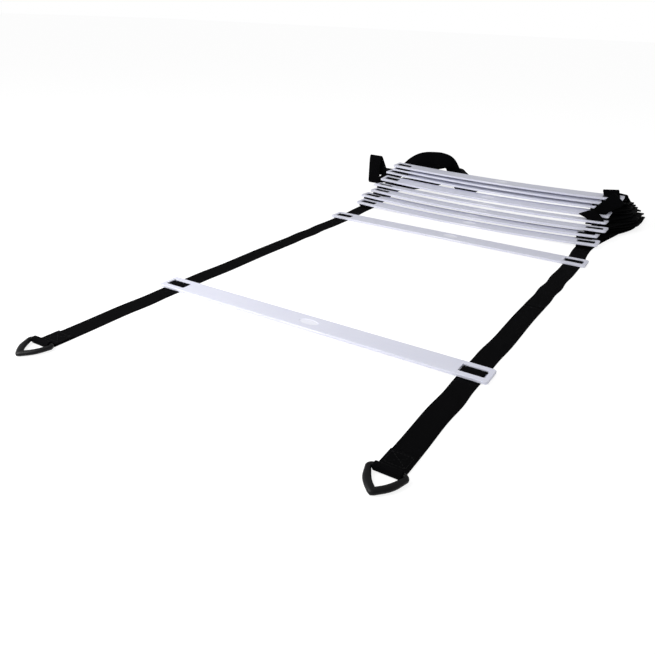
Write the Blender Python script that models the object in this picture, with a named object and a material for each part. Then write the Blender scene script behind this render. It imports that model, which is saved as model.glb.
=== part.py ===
"""Agility ladder for footwork training, half laid out and half piled up.

Ten flat plastic rungs are threaded on two lengths of black webbing, and each webbing end is
sewn round a triangular ring. The first two rungs lie flat on the floor. The other eight lie
in a pile at the back, with every bay of webbing folded once behind them. Lengths are in metres,
+Y runs along the ladder from the front rings to the back, and +Z is up.
"""

import math
from collections import namedtuple

import bmesh
import bpy
import numpy as np
from mathutils import Matrix, Vector

# Webbing
WEBBING_WIDTH = 0.030
WEBBING_THICKNESS = 0.0015
SEAT_GAP = 0.0003
SEWN_OVERLAP = 0.042

# Rung
RUNG_LENGTH = 0.510
RUNG_WIDTH = 0.035
RUNG_THICKNESS = 0.004
RUNG_CORNER_RADIUS = 0.007
RUNG_EDGE_RADIUS = 0.0009
RUNG_END_WALL = 0.0075
WEBBING_PLAY = 0.0005
BAR_WIDTH = 0.006
BAR_THICKNESS = 0.0014
BAR_HEIGHT = 0.0006
SLOT_WIDTH = 0.0055
RECESS_LENGTH = 0.028
RECESS_WIDTH = 0.014
RECESS_DEPTH = 0.0006
CUT_OVERRUN = 0.002

# Ring at each webbing end
RING_BAR_RADIUS = 0.003
RING_HALF_WIDTH = 0.0195
RING_DEPTH = 0.034
RING_CORNER_RADIUS = 0.004
RING_SIDE_POWER = 1.667
RING_DEPTH_POWER = 1.05

# Laid out front half
RUNG_SPACING = 0.486
END_LENGTH = 0.229
SECOND_RUNG_SHIFT = 0.008
SECOND_RUNG_YAW_DEG = 0.44
REAR_STRETCH_LENGTH = 0.070
NODE_GAP = 0.0003
WEAVE_OVERHANG = 0.002

# Pile of rungs 3 to 10, each place as a step from the rung below
PILE_DISTANCE = 0.6023
PILE_STEP_SHARES = (0.0, 0.89, 0.63, 0.92, 0.97, 0.79, 0.16, 0.20)
PILE_SHIFT_SHARES = (0.12, -0.08, 0.20, 0.01, -0.03, -0.40, -0.20, 0.22)
PILE_BOW_SHARES = (1.70, 1.75, 1.62, 1.50, 1.72, 1.55, 2.00, 1.65)
PILE_SLACK_SHARES = (0.05, 0.0, 0.0, 0.0, 0.30, 0.30, 0.0, 0.0)
PILE_TILTS_DEG = (0.0, -2.3, -2.3, -5.9, 3.9, 0.6, 3.5, 7.6)
PILE_YAWS_DEG = (1.19, 0.70, 0.14, 0.56, 0.08, -1.02, 0.55, 0.57)

# Folds of the webbing behind the pile, bays 2 to 9
FALL_DISTANCE = 0.800
FALL_LENGTH = 0.190
FAN_DISTANCE = 0.800
FAN_LEAST_RUN = 0.075
LAYER_PLAY = 0.0007
FLOOR_PLAY = 0.0005
TIP_RAMP = 0.030
LEVEL_RUN = 0.030
LAYER_SPACING = 0.018
BAY_HEIGHTS = (0.002, 0.006, 0.011, 0.018, 0.026, 0.033, 0.042, 0.061)
RIGHT_FANS = (0.035, 0.052, 0.058, 0.067, 0.062, 0.054, 0.042, 0.024)
LEFT_FANS = (0.022, 0.028, 0.034, 0.040, 0.038, 0.074, 0.020, 0.029)
TIP_DISTANCES = (0.787, 0.861, 0.887, 0.913, 0.946, 0.968, 0.989, 1.010)

# Loop that stands up at the left of the pile
LOOP_BAY = 7
LOOP_HEIGHT = 0.078
LOOP_ROUTE_SHARES = (
    (-0.06, 0.12, 0.470),
    (-0.18, 0.30, 0.455),
    (-0.52, 0.74, 0.415),
    (-0.86, 1.13, 0.385),
    (-0.94, 1.30, 0.350),
    (-0.94, 1.345, 0.275),
    (-0.94, 1.27, 0.215),
    (-0.94, 0.92, 0.16),
    (-0.95, 0.55, 0.12),
    (-0.955, 0.42, 0.17),
    (-0.955, 0.375, 0.35),
    (-0.955, 0.37, 0.65),
    (-0.955, 0.375, 0.88),
    (-0.955, 0.405, 0.975),
    (-0.955, 0.46, 0.975),
    (-0.955, 0.49, 0.88),
    (-0.955, 0.495, 0.68),
    (-0.955, 0.53, 0.53),
    (-0.955, 0.68, 0.465),
    (-0.955, 1.00, 0.45),
    (-0.955, 1.20, 0.455),
    (-0.955, 1.245, 0.475),
    (-0.955, 1.20, 0.495),
    (-0.90, 1.00, 0.50),
    (-0.62, 0.74, 0.505),
    (-0.30, 0.45, 0.535),
)

# Loose webbing ends behind the pile
LEFT_TAIL_ROUTE_SHARES = (
    (0.035, 0.075, 0.315),
    (0.105, 0.135, 0.350),
    (0.200, 0.165, 0.368),
    (0.305, 0.175, 0.366),
    (0.400, 0.190, 0.318),
    (0.480, 0.225, 0.205),
    (0.530, 0.290, 0.085),
    (0.555, 0.370, 0.022),
)
LEFT_TAIL_TURNS_DEG = (8.0, 48.0, 84.0, 95.0, 133.0, 160.0, 175.0, 180.0)
LEFT_TAIL_HEADINGS_DEG = (20.0, 55.0, 82.0, 85.0, 82.0, 50.0, 15.0, 0.0)
RIGHT_TAIL_ROUTE_SHARES = (
    (-0.015, 0.070, 0.305),
    (-0.050, 0.150, 0.325),
    (-0.078, 0.250, 0.275),
    (-0.105, 0.450, 0.160),
    (-0.135, 0.650, 0.055),
    (-0.150, 0.780, 0.018),
)
TAIL_FLAT_RUN = 0.012

# Fineness of the curved parts
CORNER_STEPS = 4
BOW_CUTS = 9
RING_LEG_STEPS = 7
RING_CORNER_STEPS = 3
EYE_STEPS = 10
TURN_STEPS = 6
ROUTE_STEPS = 2

WINDOW_LENGTH = WEBBING_WIDTH + 2 * WEBBING_PLAY
WINDOW_WIDTH = BAR_WIDTH + 2 * SLOT_WIDTH
WINDOW_CENTRE = RUNG_LENGTH / 2 - RUNG_END_WALL - WINDOW_LENGTH / 2
WEB_STEP = WEBBING_THICKNESS + SEAT_GAP
UNDER_RIM = -SEAT_GAP - WEBBING_THICKNESS / 2
UNDER_WEAVE = UNDER_RIM - WEB_STEP
OVER_BAR = BAR_HEIGHT + BAR_THICKNESS + SEAT_GAP + WEBBING_THICKNESS / 2
LAYER_STEP = WEBBING_THICKNESS + LAYER_PLAY
EYE_RADIUS = RING_BAR_RADIUS + SEAT_GAP + WEBBING_THICKNESS / 2
EYE_HEIGHT = EYE_RADIUS + WEBBING_THICKNESS / 2
FIRST_PILED = 3
LAST_RUNG = 10
FIRST_BAY = 2
SIDES = {"left": -1, "right": 1}

RungPlace = namedtuple("RungPlace", "x y z yaw tilt bow")


def clear_scene():
    for thing in list(bpy.data.objects):
        bpy.data.objects.remove(thing, do_unlink=True)


def plain_material(name, color, roughness, metallic=0.0):
    material = bpy.data.materials.new(name)
    material.use_nodes = True
    shader = material.node_tree.nodes["Principled BSDF"]
    shader.inputs["Base Color"].default_value = (*color, 1.0)
    shader.inputs["Roughness"].default_value = roughness
    shader.inputs["Metallic"].default_value = metallic
    material.diffuse_color = (*color, 1.0)
    return material


def rung_plastic(name):
    return plain_material(name, (0.74, 0.75, 0.86), 0.42)


def webbing_cloth(name):
    return plain_material(name, (0.012, 0.012, 0.015), 0.88)


def ring_plastic(name):
    return plain_material(name, (0.016, 0.016, 0.020), 0.38)


def new_object(name, mesh, material):
    mesh.materials.clear()
    mesh.materials.append(material)
    thing = bpy.data.objects.new(name, mesh)
    bpy.context.scene.collection.objects.link(thing)
    return thing


def smooth_step(value):
    share = np.clip(value, 0.0, 1.0)
    return share * share * (3 - 2 * share)


def unit(vectors):
    return vectors / np.linalg.norm(vectors, axis=-1, keepdims=True)


# Places of the rungs

def on_rung(place, x, y, height):
    """World points for places on a flat rung, with height measured up from its underside."""
    bowed = height + place.bow * (2 * x / RUNG_LENGTH) ** 2
    cos_tilt, sin_tilt = math.cos(place.tilt), math.sin(place.tilt)
    cos_yaw, sin_yaw = math.cos(place.yaw), math.sin(place.yaw)
    level = y * cos_tilt - bowed * sin_tilt
    raised = y * sin_tilt + bowed * cos_tilt
    return np.array([
        place.x + x * cos_yaw - level * sin_yaw,
        place.y + x * sin_yaw + level * cos_yaw,
        place.z + raised,
    ])


def height_on_line(near, far, y):
    share = np.clip((y - near[1]) / (far[1] - near[1]), 0.0, 1.0)
    return near[2] + share * (far[2] - near[2])


def spare_room(lower, upper):
    """The least height that two piled rungs leave over the two webbing layers between them."""
    half = RUNG_WIDTH / 2
    inner = WINDOW_CENTRE - WINDOW_LENGTH / 2
    outer = WINDOW_CENTRE + WINDOW_LENGTH / 2
    rooms = []
    shift = upper.x - lower.x
    for x in (-outer, -inner, 0.0, inner, outer):
        top = [on_rung(lower, x + shift, y, RUNG_THICKNESS) for y in (-half, half)]
        under = [on_rung(upper, x, y, 0.0) for y in (-half, half)]
        needed = 2 * WEB_STEP + SEAT_GAP if x else SEAT_GAP
        rooms.append(height_on_line(*under, top[1][1]) - top[1][2] - needed)
        rooms.append(under[0][2] - height_on_line(*top, under[0][1]) - needed)
    return min(rooms)


def rung_places():
    """Rungs 1 and 2 lie on the webbing, and each piled rung on the layers over the one below."""
    places = {
        1: RungPlace(0.0, 0.0, WEB_STEP, 0.0, 0.0, 0.0),
        2: RungPlace(SECOND_RUNG_SHIFT, RUNG_SPACING, WEB_STEP,
                     math.radians(SECOND_RUNG_YAW_DEG), 0.0, 0.0),
    }
    y = PILE_DISTANCE
    inner = WINDOW_CENTRE - WINDOW_LENGTH / 2
    for index, step in enumerate(PILE_STEP_SHARES):
        y += step * RUNG_WIDTH
        loose = RungPlace(
            PILE_SHIFT_SHARES[index] * RUNG_WIDTH,
            y,
            0.0,
            math.radians(PILE_YAWS_DEG[index]),
            math.radians(PILE_TILTS_DEG[index]),
            PILE_BOW_SHARES[index] * RUNG_THICKNESS,
        )
        slack = PILE_SLACK_SHARES[index] * WEBBING_THICKNESS
        number = FIRST_PILED + index
        if number == FIRST_PILED:
            z = 3 * WEB_STEP + slack - on_rung(loose, inner, 0.0, 0.0)[2]
        else:
            z = slack - spare_room(places[number - 1], loose)
        places[number] = loose._replace(z=z)
    return places


# Rungs

def rounded_outline():
    """The rung's outline, anticlockwise from its front right corner."""
    points = []
    half_length = RUNG_LENGTH / 2 - RUNG_CORNER_RADIUS
    half_width = RUNG_WIDTH / 2 - RUNG_CORNER_RADIUS
    corners = ((1, -1, -90), (1, 1, 0), (-1, 1, 90), (-1, -1, 180))
    for side_x, side_y, start in corners:
        for step in range(CORNER_STEPS + 1):
            angle = math.radians(start + 90 * step / CORNER_STEPS)
            points.append((
                side_x * half_length + RUNG_CORNER_RADIUS * math.cos(angle),
                side_y * half_width + RUNG_CORNER_RADIUS * math.sin(angle),
            ))
    return points


def rung_slab():
    shape = bmesh.new()
    base = shape.faces.new([shape.verts.new((x, y, 0.0)) for x, y in rounded_outline()])
    base.normal_flip()
    risen = bmesh.ops.extrude_face_region(shape, geom=[base])
    top = [item for item in risen["geom"] if isinstance(item, bmesh.types.BMVert)]
    bmesh.ops.translate(shape, verts=top, vec=(0.0, 0.0, RUNG_THICKNESS))
    bmesh.ops.recalc_face_normals(shape, faces=shape.faces)
    rims = [edge for edge in shape.edges if abs(edge.verts[0].co.z - edge.verts[1].co.z) < SEAT_GAP]
    bmesh.ops.bevel(shape, geom=rims, offset=RUNG_EDGE_RADIUS, segments=2, profile=0.5,
                    affect="EDGES")
    mesh = bpy.data.meshes.new("rung slab")
    shape.to_mesh(mesh)
    shape.free()
    return mesh


def window_cutter(x):
    """A block the size of one window, with a channel through it that leaves the centre bar."""
    shape = bmesh.new()
    half = WINDOW_WIDTH / 2
    bar = BAR_WIDTH / 2
    outer = ((-half, -CUT_OVERRUN), (half, -CUT_OVERRUN),
             (half, RUNG_THICKNESS + CUT_OVERRUN), (-half, RUNG_THICKNESS + CUT_OVERRUN))
    inner = ((-bar, BAR_HEIGHT), (bar, BAR_HEIGHT),
             (bar, BAR_HEIGHT + BAR_THICKNESS), (-bar, BAR_HEIGHT + BAR_THICKNESS))
    ends = []
    for end in (x - WINDOW_LENGTH / 2, x + WINDOW_LENGTH / 2):
        ends.append([[shape.verts.new((end, y, z)) for y, z in ring] for ring in (outer, inner)])
    for step in range(4):
        after = (step + 1) % 4
        for first, second in ((0, 0), (1, 1)):
            shape.faces.new((ends[0][first][step], ends[0][first][after],
                             ends[1][second][after], ends[1][second][step]))
        for end in ends:
            shape.faces.new((end[0][step], end[0][after], end[1][after], end[1][step]))
    bmesh.ops.recalc_face_normals(shape, faces=shape.faces)
    mesh = bpy.data.meshes.new("window cutter")
    shape.to_mesh(mesh)
    shape.free()
    return mesh


def recess_cutter():
    """A shallow tray with sloped walls, sunk in the middle of the rung's top."""
    shape = bmesh.new()
    bmesh.ops.create_cube(shape, size=1.0)
    for vert in shape.verts:
        low = vert.co.z < 0
        slope = 0.0 if low else RECESS_DEPTH + CUT_OVERRUN
        vert.co.x *= RECESS_LENGTH + 2 * slope
        vert.co.y *= RECESS_WIDTH + 2 * slope
        vert.co.z = RUNG_THICKNESS - RECESS_DEPTH if low else RUNG_THICKNESS + CUT_OVERRUN
    mesh = bpy.data.meshes.new("recess cutter")
    shape.to_mesh(mesh)
    shape.free()
    return mesh


def cut_away(mesh, cutters):
    """The mesh less each cutter, with the helpers removed again."""
    body = bpy.data.objects.new("rung blank", mesh)
    bpy.context.scene.collection.objects.link(body)
    helpers = []
    for cutter in cutters:
        helper = bpy.data.objects.new(cutter.name, cutter)
        helper.hide_render = True
        helper.display_type = "WIRE"
        bpy.context.scene.collection.objects.link(helper)
        cut = body.modifiers.new(cutter.name, "BOOLEAN")
        cut.object = helper
        cut.solver = "EXACT"
        helpers.append(helper)
    bpy.context.view_layer.update()
    result = bpy.data.meshes.new_from_object(
        body.evaluated_get(bpy.context.evaluated_depsgraph_get()))
    for helper in [*helpers, body]:
        bpy.data.objects.remove(helper, do_unlink=True)
    return result


def flat_rung():
    """One straight rung, cut across at even steps so that it can take a bow."""
    cutters = [window_cutter(-WINDOW_CENTRE), window_cutter(WINDOW_CENTRE), recess_cutter()]
    mesh = cut_away(rung_slab(), cutters)
    shape = bmesh.new()
    shape.from_mesh(mesh)
    span = RUNG_LENGTH / 2 - RUNG_CORNER_RADIUS
    for x in np.linspace(-span, span, BOW_CUTS):
        everything = [*shape.verts, *shape.edges, *shape.faces]
        bmesh.ops.bisect_plane(shape, geom=everything, dist=SEAT_GAP / 100,
                               plane_co=(x, 0.0, 0.0), plane_no=(1.0, 0.0, 0.0))
    shape.to_mesh(mesh)
    shape.free()
    return mesh


def bowed_mesh(flat, bow):
    mesh = flat.copy()
    for vert in mesh.vertices:
        vert.co.z += bow * (2 * vert.co.x / RUNG_LENGTH) ** 2
    return mesh


def make_rung(number, flat, place):
    name = f"rung_{number:02d}"
    rung = new_object(name, bowed_mesh(flat, place.bow), rung_plastic(f"{name}_plastic"))
    rung.location = (place.x, place.y, place.z)
    rung.rotation_euler = (place.tilt, 0.0, place.yaw)
    rung.data.shade_smooth()
    rung.data.set_sharp_from_angle(angle=math.radians(30))
    return rung


# Webbing as a strip between two edge lines

def strip(name, first_edge, second_edge):
    """A strip of webbing, WEBBING_THICKNESS thick, whose middle surface joins the two edges."""
    first, second = np.array(first_edge), np.array(second_edge)
    middle = (first + second) / 2
    steps = unit(np.diff(middle, axis=0))
    before = np.vstack([steps[:1], steps])
    after = np.vstack([steps, steps[-1:]])
    tangent = unit(before + after)
    corner = np.sqrt((1 + np.sum(before * after, axis=1)) / 2)
    across = unit(second - first)
    lift = unit(np.cross(across, tangent)) * (WEBBING_THICKNESS / 2 / corner)[:, None]
    rings = np.stack([first - lift, second - lift, second + lift, first + lift], axis=1)
    shape = bmesh.new()
    loops = [[shape.verts.new(tuple(point)) for point in ring] for ring in rings]
    for one, other in zip(loops[:-1], loops[1:]):
        near, far = (one, other) if other[0].co.y > one[0].co.y else (other, one)
        for low, high in ((0, 1), (3, 2)):
            shape.faces.new((near[low], near[high], far[high]))
            shape.faces.new((near[low], far[high], far[low]))
        for side_low, side_high in ((1, 2), (3, 0)):
            shape.faces.new((one[side_low], one[side_high], other[side_high], other[side_low]))
    shape.faces.new(loops[0][::-1])
    shape.faces.new(loops[-1])
    bmesh.ops.recalc_face_normals(shape, faces=shape.faces)
    mesh = bpy.data.meshes.new(name)
    shape.to_mesh(mesh)
    shape.free()
    webbing = new_object(name, mesh, webbing_cloth(f"{name}_cloth"))
    webbing.data.shade_smooth()
    webbing.data.set_sharp_from_angle(angle=math.radians(40))
    return webbing


def flat_stations(x, y, z):
    """Edge points of webbing that runs along Y at the given middle points."""
    half = WEBBING_WIDTH / 2
    return [((x_at - half, y_at, z_at), (x_at + half, y_at, z_at))
            for x_at, y_at, z_at in zip(x, y, z)]


def rung_stations(place, side, route):
    """Edge points of webbing that follows (y, height) points in a rung's own frame."""
    half = WEBBING_WIDTH / 2
    middle = side * WINDOW_CENTRE
    return [(on_rung(place, middle - half, y, height), on_rung(place, middle + half, y, height))
            for y, height in route]


def bar_route():
    """From the middle of the centre bar's top, down the far slot and under the far rim."""
    bar = BAR_WIDTH / 2
    rim = WINDOW_WIDTH / 2
    return [(NODE_GAP / 2, OVER_BAR), (bar - SEAT_GAP, OVER_BAR),
            (bar + 2 * SEAT_GAP, OVER_BAR - SEAT_GAP),
            (rim - 2 * SEAT_GAP, UNDER_RIM + SEAT_GAP / 2), (rim + SEAT_GAP, UNDER_RIM),
            (RUNG_WIDTH / 2, UNDER_RIM)]


def weave_route():
    """From the near side of a laid rung to its far side, over the centre bar."""
    far = bar_route()[1:-1] + [(RUNG_WIDTH / 2 + WEAVE_OVERHANG, UNDER_RIM)]
    return [(-y, height) for y, height in far[::-1]] + far


def arrival_route():
    """Under a piled rung from behind, round at its near rim and up to the centre bar."""
    start = -RUNG_WIDTH / 2 + WEBBING_THICKNESS
    radius = WEB_STEP / 2
    route = [(RUNG_WIDTH / 2, UNDER_WEAVE), (0.0, UNDER_WEAVE)]
    for step in range(TURN_STEPS + 1):
        angle = math.pi * step / TURN_STEPS
        route.append((start - radius * math.sin(angle),
                      UNDER_WEAVE + radius * (1 - math.cos(angle))))
    return route + [(-y, height) for y, height in bar_route()[-2::-1]]


# Folds behind the pile

def layer_weight(bay, y):
    """1 where this bay's fold lies, and 0 past its tip."""
    past = y - TIP_DISTANCES[bay - FIRST_BAY] - LAYER_SPACING
    return 1 - smooth_step(past / TIP_RAMP)


def packed_height(bay, y):
    """Height of this bay's lower layer if every fold lay flat on the one below."""
    height = WEBBING_THICKNESS / 2 + FLOOR_PLAY
    for under in range(FIRST_BAY, bay):
        height += 2 * LAYER_STEP * layer_weight(under, y)
    return height


def lower_layer(bay, y):
    """Height of the bay's lower layer behind the pile, airy near it and packed at the back."""
    wanted = BAY_HEIGHTS[bay - FIRST_BAY] - LAYER_STEP / 2
    air = wanted - packed_height(bay, FALL_DISTANCE)
    fade = 1 - smooth_step((y - FALL_DISTANCE) / FALL_LENGTH)
    return packed_height(bay, y) + max(air, 0.0) * fade


def layer_station(bay, side, start, y, rise):
    """Edge points on one layer, fanned outward from the rung window where it starts."""
    def middle_x(at):
        fans = LEFT_FANS if side < 0 else RIGHT_FANS
        outer = side * (WINDOW_CENTRE + fans[bay - FIRST_BAY])
        run = max(FAN_DISTANCE - start[1], FAN_LEAST_RUN)
        return start[0] + (outer - start[0]) * smooth_step((at - start[1]) / run)

    def height(at):
        share = smooth_step((at - start[1]) / max(FALL_DISTANCE - start[1], LEVEL_RUN))
        return start[2] + share * (lower_layer(bay, at) + rise - start[2])

    step = SEAT_GAP
    heading = math.atan((middle_x(y + step) - middle_x(y - step)) / (2 * step))
    across = WEBBING_WIDTH / 2 * np.array([math.cos(heading), -math.sin(heading)])
    slope = start[3] * (1 - smooth_step((y - start[1]) / LEVEL_RUN))
    edges = []
    for sign in (-1, 1):
        x_at = middle_x(y) + sign * across[0]
        y_at = y + sign * across[1]
        tilt = slope * sign * across[0]
        edges.append((x_at, y_at, height(y_at) + tilt))
    return tuple(edges)


def start_of(stations):
    """Middle of the last station and its slope across the webbing."""
    first, second = (np.array(edge) for edge in stations[-1])
    middle = (first + second) / 2
    return (*middle, (second[2] - first[2]) / (second[0] - first[0]))


def layer_run(bay, side, start, rise):
    """Stations on one layer from behind its rung to the fold's tip, at the same places on all."""
    tip = TIP_DISTANCES[bay - FIRST_BAY]
    second = start[1] + LEVEL_RUN / 3
    first = math.ceil((second + CUT_OVERRUN) / LAYER_SPACING)
    last = math.floor((tip - CUT_OVERRUN) / LAYER_SPACING)
    places = [LAYER_SPACING * step for step in range(first, last + 1)]
    return [layer_station(bay, side, start, y, rise) for y in [second, *places, tip]]


def fold_stations(out, back):
    """Out behind the pile on one layer and back on the next."""
    out_end, back_end = np.array(out[-1]), np.array(back[-1])
    turn = []
    for step in range(1, TURN_STEPS):
        angle = math.pi * step / TURN_STEPS
        share = (1 - math.cos(angle)) / 2
        at = out_end + share * (back_end - out_end)
        at[:, 1] += LAYER_STEP / 2 * math.sin(angle)
        turn.append(tuple(map(tuple, at)))
    return out + turn + back[::-1]


def on_floor(stations):
    level = WEBBING_THICKNESS / 2
    return [((*first[:2], level), (*second[:2], level)) for first, second in stations]


def smooth_line(points, steps):
    """Points of a Catmull-Rom line through the given ones."""
    points = np.array(points, float)
    padded = np.vstack([2 * points[0] - points[1], points, 2 * points[-1] - points[-2]])
    line = []
    for index in range(1, len(points)):
        p0, p1, p2, p3 = padded[index - 1:index + 3]
        for step in range(steps):
            t = step / steps
            line.append(0.5 * (2 * p1 + (p2 - p0) * t + (2 * p0 - 5 * p1 + 4 * p2 - p3) * t**2
                               + (3 * p1 - p0 - 3 * p2 + p3) * t**3))
    line.append(points[-1])
    return np.array(line)


def loop_stations(lower):
    """The left bay that doubles forward again and stands up in a loop beside the pile."""
    origin = np.array([-WINDOW_CENTRE, lower[1], 0.0])
    shares = np.array(LOOP_ROUTE_SHARES)
    line = smooth_line(origin + shares * LOOP_HEIGHT, ROUTE_STEPS)
    return flat_stations(*line.T)


def bay_strip(bay, side_name, places):
    side = SIDES[side_name]
    lower, upper = places[bay], places[bay + 1]
    arrival = rung_stations(upper, side, arrival_route())
    if bay == FIRST_BAY:
        x, y = pile_front(side, places)
        stations = flat_stations([x], [y + NODE_GAP], [WEBBING_THICKNESS / 2])
        out = on_floor(layer_run(bay, side, start_of(stations), 0.0))
    else:
        stations = rung_stations(lower, side, bar_route())
        out = layer_run(bay, side, start_of(stations), 0.0)
    if side < 0 and bay == LOOP_BAY:
        stations += loop_stations(start_of(stations))
    else:
        stations += fold_stations(out, layer_run(bay, side, start_of(arrival[:1]), LAYER_STEP))
    stations += arrival
    name = f"strap_{side_name}_fold_{bay:02d}_{bay + 1:02d}"
    return strip(name, [s[0] for s in stations], [s[1] for s in stations])


# Laid out webbing

def across_floor(x, y):
    return flat_stations([x], [y], [WEBBING_THICKNESS / 2])


def beside_rung(place, side, toward):
    """Edge points just clear of a laid rung's woven piece, in front (-1) or behind (1)."""
    clear = RUNG_WIDTH / 2 + WEAVE_OVERHANG + NODE_GAP
    return rung_stations(place, side, [(toward * clear, UNDER_RIM)])


def pile_front(side, places):
    """Where the webbing that lies flat behind the second rung ends, in front of the pile."""
    x = side * WINDOW_CENTRE + places[FIRST_PILED].x
    return x, RUNG_SPACING + RUNG_WIDTH / 2 + WEAVE_OVERHANG + REAR_STRETCH_LENGTH


def straight_strip(name, start, end):
    stations = start + end
    return strip(name, [s[0] for s in stations], [s[1] for s in stations])


def weave_strip(name, place, side):
    stations = rung_stations(place, side, weave_route())
    return strip(name, [s[0] for s in stations], [s[1] for s in stations])


def eye_route():
    """Sewn end in (distance, height) from the ring's bar: along the top, round and back."""
    lap = SEWN_OVERLAP
    top = WEBBING_THICKNESS / 2 + WEB_STEP
    level = WEBBING_THICKNESS / 2
    route = [(lap, top), (EYE_RADIUS * 2.4, top), (EYE_RADIUS * 1.5, top + EYE_RADIUS / 4)]
    start = math.radians(62)
    for step in range(EYE_STEPS + 1):
        angle = start + (1.5 * math.pi - start) * step / EYE_STEPS
        route.append((EYE_RADIUS * math.cos(angle), EYE_HEIGHT + EYE_RADIUS * math.sin(angle)))
    return route + [(lap + WEB_STEP, level)]


def end_strip(name, ring_place, forward, lift):
    """Webbing sewn round a ring's bar. forward is -1 at the front and 1 at the back."""
    x, y = ring_place
    route = eye_route()
    stations = flat_stations([x] * len(route), [y - forward * at for at, _ in route],
                             [height + lift for _, height in route])
    return strip(name, [s[0] for s in stations], [s[1] for s in stations])


# Rings

def ring_outline():
    """Half of the ring's centre line, from its bar's end round to its tip."""
    points = []
    reach = RING_HALF_WIDTH - RING_CORNER_RADIUS
    for step in range(RING_CORNER_STEPS + 1):
        angle = math.pi / 2 * step / RING_CORNER_STEPS
        points.append((reach + RING_CORNER_RADIUS * math.sin(angle),
                       RING_CORNER_RADIUS * (1 - math.cos(angle))))
    first = math.asin((RING_CORNER_RADIUS / RING_DEPTH) ** (1 / RING_DEPTH_POWER))
    for angle in np.linspace(first, math.pi / 2, RING_LEG_STEPS + 1)[1:]:
        side = RING_HALF_WIDTH * max(math.cos(angle), 0.0) ** RING_SIDE_POWER
        points.append((side, RING_DEPTH * math.sin(angle) ** RING_DEPTH_POWER))
    return points


def make_ring(name, place, forward, lift):
    """A bent bar in the shape of a triangle with bowed legs, its origin on the straight bar."""
    half = ring_outline()
    outline = half + [(-x, depth) for x, depth in half[-2::-1]]
    curve = bpy.data.curves.new(name, "CURVE")
    curve.dimensions = "3D"
    curve.bevel_depth = RING_BAR_RADIUS
    curve.bevel_resolution = 2
    spline = curve.splines.new("POLY")
    spline.points.add(len(outline) - 1)
    spline.use_cyclic_u = True
    for point, (x, depth) in zip(spline.points, outline):
        point.co = (x, forward * depth, 0.0, 1.0)
    curve.materials.append(ring_plastic(f"{name}_plastic"))
    ring = bpy.data.objects.new(name, curve)
    bpy.context.scene.collection.objects.link(ring)
    droop = math.asin((EYE_HEIGHT - RING_BAR_RADIUS) / RING_DEPTH)
    ring.location = (*place, EYE_HEIGHT + lift)
    ring.rotation_euler = (-forward * droop, 0.0, 0.0)
    return ring


# Loose ends

def tail_strip(name, start_stations, middles, widths):
    stations = list(start_stations)
    half = WEBBING_WIDTH / 2
    for middle, across in zip(middles, widths):
        stations.append((middle - half * across, middle + half * across))
    return strip(name, [s[0] for s in stations], [s[1] for s in stations])


def left_tail(place):
    """Twists on to its edge, arches behind the pile and comes down again to the floor."""
    stations = rung_stations(place, -1, bar_route())
    leave = np.array(start_of(stations)[:3])
    origin = np.array([leave[0], leave[1], 0.0])
    route = origin + np.array(LEFT_TAIL_ROUTE_SHARES) * END_LENGTH
    end = route[-1] + np.array([0.0, TAIL_FLAT_RUN, 0.0])
    end[2] = WEBBING_THICKNESS / 2 + FLOOR_PLAY
    line = smooth_line(np.vstack([leave, route, end]), ROUTE_STEPS + 1)[1:]
    turns = smooth_line([(0.0,), *[(turn,) for turn in LEFT_TAIL_TURNS_DEG], (180.0,)],
                        ROUTE_STEPS + 1)[1:, 0]
    headings = np.gradient(line, axis=0)
    widths = []
    for turn, heading in zip(np.radians(turns), unit(headings)):
        wanted = np.array([math.cos(turn), 0.0, -math.sin(turn)])
        widths.append(unit(wanted - heading * (wanted @ heading)))
    widths[-1] = np.array([-1.0, 0.0, 0.0])
    ring_place = (end[0], end[1] + NODE_GAP)
    return tail_strip("strap_left_tail", stations, line, widths), ring_place


def right_tail(place):
    """Humps over the folds behind the pile and runs down to the floor inside them."""
    stations = rung_stations(place, 1, bar_route())
    leave = np.array(start_of(stations)[:3])
    origin = np.array([leave[0], leave[1], 0.0])
    route = origin + np.array(RIGHT_TAIL_ROUTE_SHARES) * END_LENGTH
    end = route[-1] + np.array([0.0, 2 * TAIL_FLAT_RUN, 0.0])
    end[2] = WEBBING_THICKNESS / 2 + FLOOR_PLAY
    line = smooth_line(np.vstack([leave, route, end]), ROUTE_STEPS + 1)[1:]
    widths = [np.array([1.0, 0.0, 0.0])] * len(line)
    ring_place = (end[0], end[1] + NODE_GAP)
    return tail_strip("strap_right_tail", stations, line, widths), ring_place


def make_side(side_name, places):
    side = SIDES[side_name]
    prefix = f"strap_{side_name}"
    x = side * WINDOW_CENTRE
    lap = SEWN_OVERLAP + WEB_STEP
    middle = x + places[2].x / 2
    end_strip(f"{prefix}_front_end", (x, -END_LENGTH), -1, 0.0)
    straight_strip(f"{prefix}_front_stretch", across_floor(x, -END_LENGTH + lap + NODE_GAP),
                   beside_rung(places[1], side, -1))
    weave_strip(f"{prefix}_weave_01", places[1], side)
    straight_strip(f"{prefix}_middle_front", beside_rung(places[1], side, 1),
                   across_floor(middle, RUNG_SPACING / 2))
    straight_strip(f"{prefix}_middle_rear", across_floor(middle, RUNG_SPACING / 2 + NODE_GAP),
                   beside_rung(places[2], side, -1))
    weave_strip(f"{prefix}_weave_02", places[2], side)
    straight_strip(f"{prefix}_rear_stretch", beside_rung(places[2], side, 1),
                   across_floor(*pile_front(side, places)))
    for bay in range(FIRST_BAY, LAST_RUNG):
        bay_strip(bay, side_name, places)
    tail = left_tail if side < 0 else right_tail
    _, (tail_x, tail_y) = tail(places[LAST_RUNG])
    rear = (tail_x, tail_y + lap)
    end_strip(f"{prefix}_rear_end", rear, 1, FLOOR_PLAY)
    make_ring(f"ring_front_{side_name}", (x, -END_LENGTH), -1, 0.0)
    make_ring(f"ring_rear_{side_name}", rear, 1, FLOOR_PLAY)


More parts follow.
